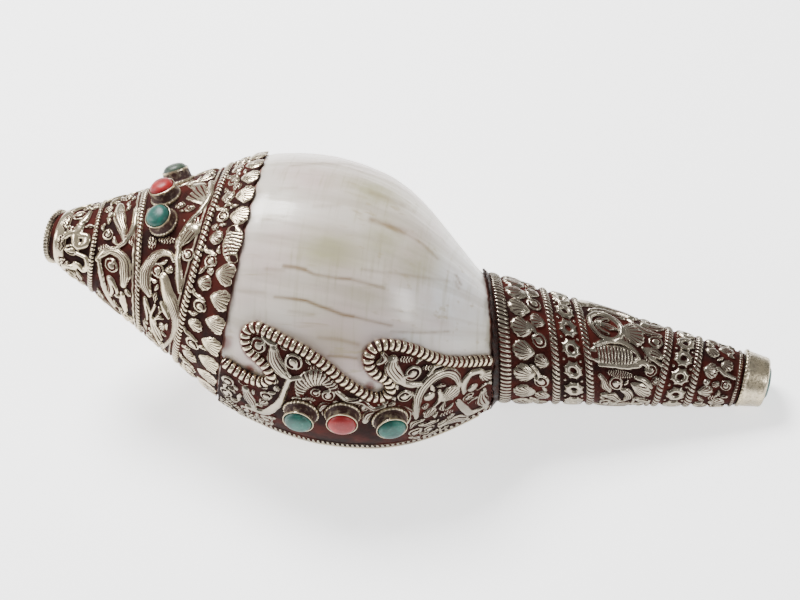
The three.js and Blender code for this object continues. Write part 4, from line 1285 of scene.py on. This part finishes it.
def on_mount(points, widths, **how):
    """A line through points of the lip mount as seen from the back."""
    mount.trace([seen_on(*p, mount_top) for p in points], widths, mount_top, **how)


def mounted(motif, along, up, *sizes, **how):
    """A motif of the lip mount, placed as seen from the back."""
    motif(*seen_on(along, up, mount_top), *sizes, **how)


def mount_fan(foot, tip, width, **how):
    """A fan of the lip mount, from its foot to its tip as seen from the back."""
    mount.scallop(seen_on(*foot, mount_top), seen_on(*tip, mount_top), width, mount_top, **how)


on_mount([(70, -25.6), (67.8, -24.5), (65, -21.8), (63.9, -18.4)], [0.6, 1.7, 1.9, 0.9], comb=5, high=1.1)
on_mount([(73.1, -24.8), (70.4, -25.9), (69.5, -28.7), (69, -32), (67.6, -34.4), (64.7, -36.2),
          (60, -35.3)],
         [0.4, 0.6, 0.7, 0.8, 1.0, 0.9, 0.5], high=1.0)
on_mount([(82.7, -25.9), (79.7, -23.9), (76.5, -24.3), (73.8, -26.8), (73.6, -29.1)],
         [0.9, 2.1, 2.3, 1.9, 1.0],
         ribs=1.0, high=1.15, fullness=3)
on_mount([(62, -35.5), (60.2, -33.5), (58.6, -31.2)], [0.6, 1.6, 0.9], comb=5)
on_mount([(101.3, -20.5), (99, -19.2), (97.1, -17), (96.9, -14.8)], [0.6, 1.6, 1.8, 1.1], comb=5,
         high=1.1)
on_mount([(99.2, -19.2), (101.6, -20.7), (104.1, -20.5), (106.8, -19.4)], [0.4, 0.7, 0.8, 0.4])
on_mount([(106.6, -29.5), (106, -26.5), (106.4, -21.7), (108.1, -18.5), (110, -16.7), (112.9, -15.5),
          (115.1, -16.2),
          (116.6, -17.9)], [0.5, 0.8, 1.0, 1.3, 1.5, 1.2, 0.8, 0.4], comb=4, high=1.1)
on_mount([(110.9, -25.0), (112.2, -22.9), (111.4, -20.8)], [0.3, 0.6, 0.3])
on_mount([(118.2, -19.9), (117.9, -17.1), (118.8, -14.6), (120.9, -13.3), (122.3, -13.3)],
         [0.4, 0.6, 0.9, 0.7, 0.4])
on_mount([(124.6, -23.2), (123.4, -20.7), (123.3, -18.2)], [0.6, 1.4, 0.5], comb=4)
on_mount([(116.9, -22.2), (119.4, -24.3), (121.5, -24.7), (124.4, -23.5)], [0.4, 0.7, 0.7, 0.4])
on_mount([(83.5, -26.6), (87.5, -28.6), (91, -27.9), (94.8, -29.2), (97.4, -28)],
         [0.4, 0.9, 1.0, 0.7, 0.4], comb=3)
on_mount([(92.9, -33.2), (94.2, -30.8), (96.4, -30.2)], [0.6, 1.4, 0.6], comb=4)
on_mount([(79.6, -32.6), (81.2, -31.2), (83.4, -31.0)], [0.5, 1.2, 0.5], comb=4)
on_mount([(104.4, -31.0), (103.6, -28.2), (101.2, -27.4)], [0.5, 1.3, 0.5], comb=4)
on_mount([(93.2, -16.6), (94.6, -15.2), (93.9, -13.6)], [0.5, 1.0, 0.4], comb=2)
on_mount([(60.4, -15.8), (62.4, -17.0), (64.4, -17.2)], [0.3, 0.7, 0.3])
on_mount([(113.5, -30.0), (116.4, -28.0), (119.8, -27.6)], [0.5, 1.5, 0.6], comb=5)
on_mount([(66, -40.6), (62, -39.2), (57.5, -36.4), (53.6, -34.3)], [0.5, 0.6, 0.6, 0.5], ribs=1.0,
         high=0.8)
on_mount([(112.0, -12.9), (109.0, -14.2), (107.6, -16.8)], [0.3, 0.5, 0.3])
for along, up, size, start, way in (
    (59.7, -18.5, 2.3, 40, 1), (70, -21.1, 2.5, -60, 1), (81.4, -28.2, 1.9, 100, -1),
    (64.6, -31.8, 1.7, 0, 1), (103.2, -17.3, 2.2, 200, 1), (102.3, -24, 2.0, 30, -1),
    (91.8, -29.3, 1.6, 60, 1), (117.2, -31.4, 1.5, 90, 1),
):
    mounted(mount.spiral, along, up, size, start, way)
for foot, tip, width, comb, high in (
    ((112.1, -23.4), (116.6, -18.6), 5.4, 7, 1.15), ((108.9, -28.9), (110.8, -25.6), 3.6, 5, 0.95),
    ((121.4, -13.6), (125.2, -14.1), 3.4, 5, 0.95), ((96.4, -26.2), (97.4, -22.4), 3.4, 5, 0.95),
):
    mount_fan(foot, tip, width, comb=comb, high=high)
for along, up, size, aim in (
    (100.6, -14.0, (2.4, 1.0), 0), (107.0, -15.0, (1.6, 0.9), 0), (76.6, -21.2, (2.4, 0.9), 20),
    (114.5, -26.4, (2.0, 1.1), 0), (89.6, -31.6, (1.6, 0.9), 0),
):
    mounted(mount.hatch, along, up, size, aim)
for along, up, size in ((109, -22.9, 1.5), (120.3, -18, 1.3)):
    mounted(mount.ball, along, up, size)

mount.fill(52.6, 125.6, turns=(38, 79), seed=11)
mount.fill(52.6, 69, turns=(14, 38), seed=12)
mount.fill(105, 125.6, turns=(14, 38), seed=13)

# Along the lip its edge is a twisted rope, and the ground stays plain where the stones stand.
edge_rope = np.abs(mount_turn - 9.6) * np.radians(1) * mount_ground
strand = mount_along / 1.35 + edge_rope * 0.35
mount.lift(np.ix_(range(len(mount_places)), range(len(mount_turns))),
           0.72 * np.sqrt(np.clip(1 - (edge_rope / 0.85) ** 2, 0, 1)), strand, 0.95)
LIP_STONES = [(75.7, 36, "turquoise"), (86.7, 39, "coral"), (99.3, 37, "turquoise")]
for along, turn, _ in LIP_STONES:
    block, x, y = mount.around(along, turn, 6.2)
    mount.height[block] *= smoothstep(np.hypot(x, y), 4.9, 5.6)

# Only what lies below the curling line is kept.
picture_along, picture_up = as_seen(mount_along, mount_turn, mount_ground)
line_points = smooth_path([(48, -24), *CURL_LINE], 0.3)
corners = np.concatenate([line_points, [(135, -9), (135, -80), (40, -80), (40, -24)]])
below = np.zeros(mount_along.shape, bool)
for (a0, u0), (a1, u1) in zip(corners, np.roll(corners, -1, axis=0)):
    if a0 != a1:
        crosses = (picture_along < a0) != (picture_along < a1)
        below ^= crosses & (picture_up < u0 + (picture_along - a0) * (u1 - u0) / (a1 - a0))
from_line, _ = nearest_on(line_points, picture_along, picture_up)
kept = (below | (from_line < 0.55)) & (mount_along < collar_along(mount_turn) - 3.1)
mount.height *= smoothstep(from_line, 0.9, 1.7)
cells = kept[:-1, :-1] & kept[1:, :-1] & kept[:-1, 1:] & kept[1:, 1:]
number = np.arange(kept.size).reshape(kept.shape)
top = at(mount_along, mount_turn, mount_ground + np.minimum(mount.height, CHASED_LIMIT)).reshape(-1, 3)
bottom = at(mount_along, mount_turn, shell_radius(mount_along, mount_turn) + CLEARANCE).reshape(-1, 3)
a, b = number[:-1, :-1][cells], number[1:, :-1][cells]
c, d = number[1:, 1:][cells], number[:-1, 1:][cells]
faces = np.concatenate([np.stack([a, b, c, d], 1), kept.size + np.stack([d, c, b, a], 1)])
edges = np.concatenate([np.stack(pair, 1) for pair in ((a, b), (b, c), (c, d), (d, a))])
keys = edges[:, 0] * kept.size + edges[:, 1]
back_keys = edges[:, 1] * kept.size + edges[:, 0]
rim = edges[~np.isin(keys, back_keys)]
walls = np.stack([rim[:, 1], rim[:, 0], rim[:, 0] + kept.size, rim[:, 1] + kept.size], 1)
mesh = bpy.data.meshes.new("chased_lip_mount")
mesh.from_pydata(laid(np.concatenate([top, bottom])).tolist(), [],
                 np.concatenate([faces, walls]).tolist())
lip_mount = bpy.data.objects.new("chased_lip_mount", mesh)
bpy.context.collection.objects.link(lip_mount)
marked(mesh, chasing_marks(mount, mount_along))
bpy.ops.object.select_all(action="DESELECT")
bpy.context.view_layer.objects.active = lip_mount
bpy.ops.object.mode_set(mode="EDIT")
bpy.ops.mesh.select_all(action="SELECT")
bpy.ops.mesh.delete_loose()
bpy.ops.object.mode_set(mode="OBJECT")
facing_out(lip_mount)
mesh.shade_smooth()
# The lip mount takes the copy of the silver painted darker: painted shade.
finished(lip_mount, shaded_silver, "lip_mount")

# The cord, with a rib every 1.7 mm.
RIB_PITCH = 1.7
track = smooth_path(CURL_LINE[:-1] + [(124.4, -9.6)], 0.26)
centres = []
for along, up in track:
    place, turn = seen_on(along, up, mount_top)
    centres.append(at(place, turn, shell_radius(place, turn) + 0.8))
centres = np.array(centres)
forward = np.gradient(centres, axis=0)
forward /= np.linalg.norm(forward, axis=1)[:, None]
outward = centres * (0, 1, 1)
outward -= forward * np.einsum("ij,ij->i", outward, forward)[:, None]
outward /= np.linalg.norm(outward, axis=1)[:, None]
sideways = np.cross(forward, outward)
gone = np.concatenate([[0], np.cumsum(np.linalg.norm(np.diff(centres, axis=0), axis=1))])
rib = np.abs(np.cos(np.pi * gone / RIB_PITCH)) ** 0.35
round_cord = np.arange(0, 360, 24.0)
tube = (0.9 + 0.5 * rib)[:, None] * (1 + 0.16 * np.abs(sine(round_cord)))
tapered = np.minimum(smoothstep(gone, -0.6, 1.2), smoothstep(gone[-1] - gone, -0.6, 1.2))
outwards = cosine(round_cord)[None, :, None] * outward[:, None]
sidewards = sine(round_cord)[None, :, None] * sideways[:, None]
rings = centres[:, None] + (tube * tapered[:, None])[..., None] * (outwards + sidewards)
level = np.ones_like(tube)
slits = {"relief": 0.75 * level, "phase": gone[:, None] / RIB_PITCH - 0.5 + 0 * tube, "depth": 0.95 * level}
cord = net("lip_mount_cord", rings, wall="poles", marks=slits)
# The cord takes the copy of the silver painted lighter: painted light.
finished(cord, silver, "lip_mount")

# Lip binding
# A strip of silver folded over the lip's edge into the mouth, with a rounded rib where it meets the mount.
BINDING_FROM, BINDING_TO = 58, 124
binding_along = spaced((BINDING_FROM, BINDING_TO + 0.1, 0.5))
outer_path = [(6.2, 1.0), (6.1, 1.6), (5.2, 1.85), (4.2, 1.7), (3.4, 1.0), (0, 1.0), (-3, 1.0), (-5, 1.0)]
rings = []


def wall_line(along, backs, proud):
    """Points on the outside of the lip, or inside it, each (turn, radius), for angles back from its edge."""
    return [(LIP_TURN + b, float(plain_radius(along, LIP_TURN + b, b)) + proud) for b in backs]


for along in binding_along:
    lip = float(plain_radius(along, LIP_TURN, 0))
    outer = [(turn, float(plain_radius(along, turn, turn - LIP_TURN)) + proud)
             for turn, proud in outer_path]
    folded = [(-6.2, lip + 0.8), (-6.7, lip), (-6.8, lip - 2), (-6.6, lip - 4.2),
              (-5.8, lip - LIP_WALL - 1.2)]
    back = wall_line(along, (0.5, 4, 8.8), -LIP_WALL - 1.1)
    inner_in = wall_line(along, (9, 4, 0.5), -LIP_WALL - 0.1)
    inner_out = [(turn, float(plain_radius(along, turn, turn - LIP_TURN)) + CLEARANCE)
                 for turn in (-4.8, -2, 2, 6)]
    crease = [(-5.6, lip - 1.7)]
    loop = outer + folded + back + inner_in + crease + inner_out
    rings.append([at(min(along, float(collar_along(turn)) - 3.2), turn, radius) for turn, radius in loop])
binding = net("lip_edge_binding", np.array(rings), wall="plates")
binding.data.set_sharp_from_angle(angle=math.radians(50))
finished(binding, plain_silver, "lip_binding")

# Stones in their collets
# Each stands on its silver with a milled wire round its foot: a round wall of silver, dark with lac
# outside, burnished along its rim, and a domed stone held in it by lac.
COLLET_PROFILE = [
    (0.4, -1.0), (4.75, -1.0), (4.9, 0.1), (4.85, 0.6), (4.5, 0.85), (4.42, 1.3), (4.2, 3.2), (4.3, 3.55),
    (4.25, 3.75), (4.12, 3.8), (3.96, 3.7), (3.9, 3.3), (3.9, 1.2), (0.4, 1.2),
]
STONE_PROFILE = [
    (0.3, 1.5), (3.6, 1.5), (3.75, 2.3), (3.8, 3.4), (3.65, 4.05), (3.25, 4.58), (2.65, 4.98), (1.85, 5.22),
    (0.95, 5.35), (0.3, 5.38),
]
CAP_STONE_SIZE = 0.88
wall_turns = np.arange(0, 360, 3.0)


def stood_on(profile, along, turn, size, teeth=0, tilt=0.0):
    """A round profile of (radius, up) standing on the silver at a place of the shell."""
    def silver_at(a, t):
        return at(a, t, shell_radius(a, t) + GROUND)

    foot = silver_at(along, turn)
    normal = np.cross(silver_at(along, turn + 6) - silver_at(along, turn - 6),
                      silver_at(along + 3, turn) - silver_at(along - 3, turn))
    normal /= np.linalg.norm(normal)
    if normal @ (foot * (0, 1, 1)) < 0:
        normal = -normal
    first = np.cross(normal, (1, 0, 0))
    first /= np.linalg.norm(first)
    second = np.cross(normal, first)
    rings = []
    for radius, up in profile:
        rough = 1 + (0.035 * np.cos(np.radians(wall_turns) * teeth) if 4.8 < radius else 0)
        wobble = tilt * np.cos(np.radians(wall_turns) * 3) * (up > 2)
        reach = np.broadcast_to(size * radius * rough + wobble, wall_turns.shape)
        rings.append(foot + normal * up + first * (reach * cosine(wall_turns))[:, None]
                     + second * (reach * sine(wall_turns))[:, None])
    return np.stack(rings)


collet_silver = Surface("collet_silver")
worn = collet_silver.noise(800, 4)
patchy = collet_silver.combined("MULTIPLY", collet_silver.combined("SUBTRACT", worn, 0.5), 0.7)
level = collet_silver.combined("ADD", collet_silver.attribute("relief"), patchy)
bare = collet_silver.ranged(level, 0.35, 0.7)
collet_silver.feed(Base_Color=collet_silver.blended(bare, (0.030, 0.005, 0.003), SILVER_WARM),
                   Metallic=collet_silver.ranged(bare, 0, 1, 0, 0.92),
                   Roughness=collet_silver.ranged(bare, 0, 1, 0.6, 0.28))
collet_silver.bumped(worn, 0.4, 0.0004)
# How bare of lac the silver is, at each point of a collet's profile.
BARE_RIM = [0.6, 0.6, 1.0, 0.9, 0.3, 0.34, 0.42, 0.9, 1, 0.9, 0.2, 0.0, 0.0, 0.0]
for group, stones, size in (("cap", CAP_STONES, CAP_STONE_SIZE), ("lip", LIP_STONES, 1)):
    for number, (along, turn, kind) in enumerate(stones, 1):
        relief = np.tile(np.array(BARE_RIM)[:, None], (1, len(wall_turns)))
        wall = net(f"{group}_setting_{number}",
                   stood_on(COLLET_PROFILE, along, turn, size, teeth=30, tilt=0.04),
                   wall="poles", marks={"relief": relief})
        wall.data.set_sharp_from_angle(angle=math.radians(50))
        finished(wall, collet_silver, f"{group}_collet_{number}")
        gem = net(f"{group}_gem_{number}", stood_on(STONE_PROFILE, along, turn, size, tilt=0.05),
                  wall="poles")
        finished(gem, STONES[kind], f"{group}_stone_{number}")
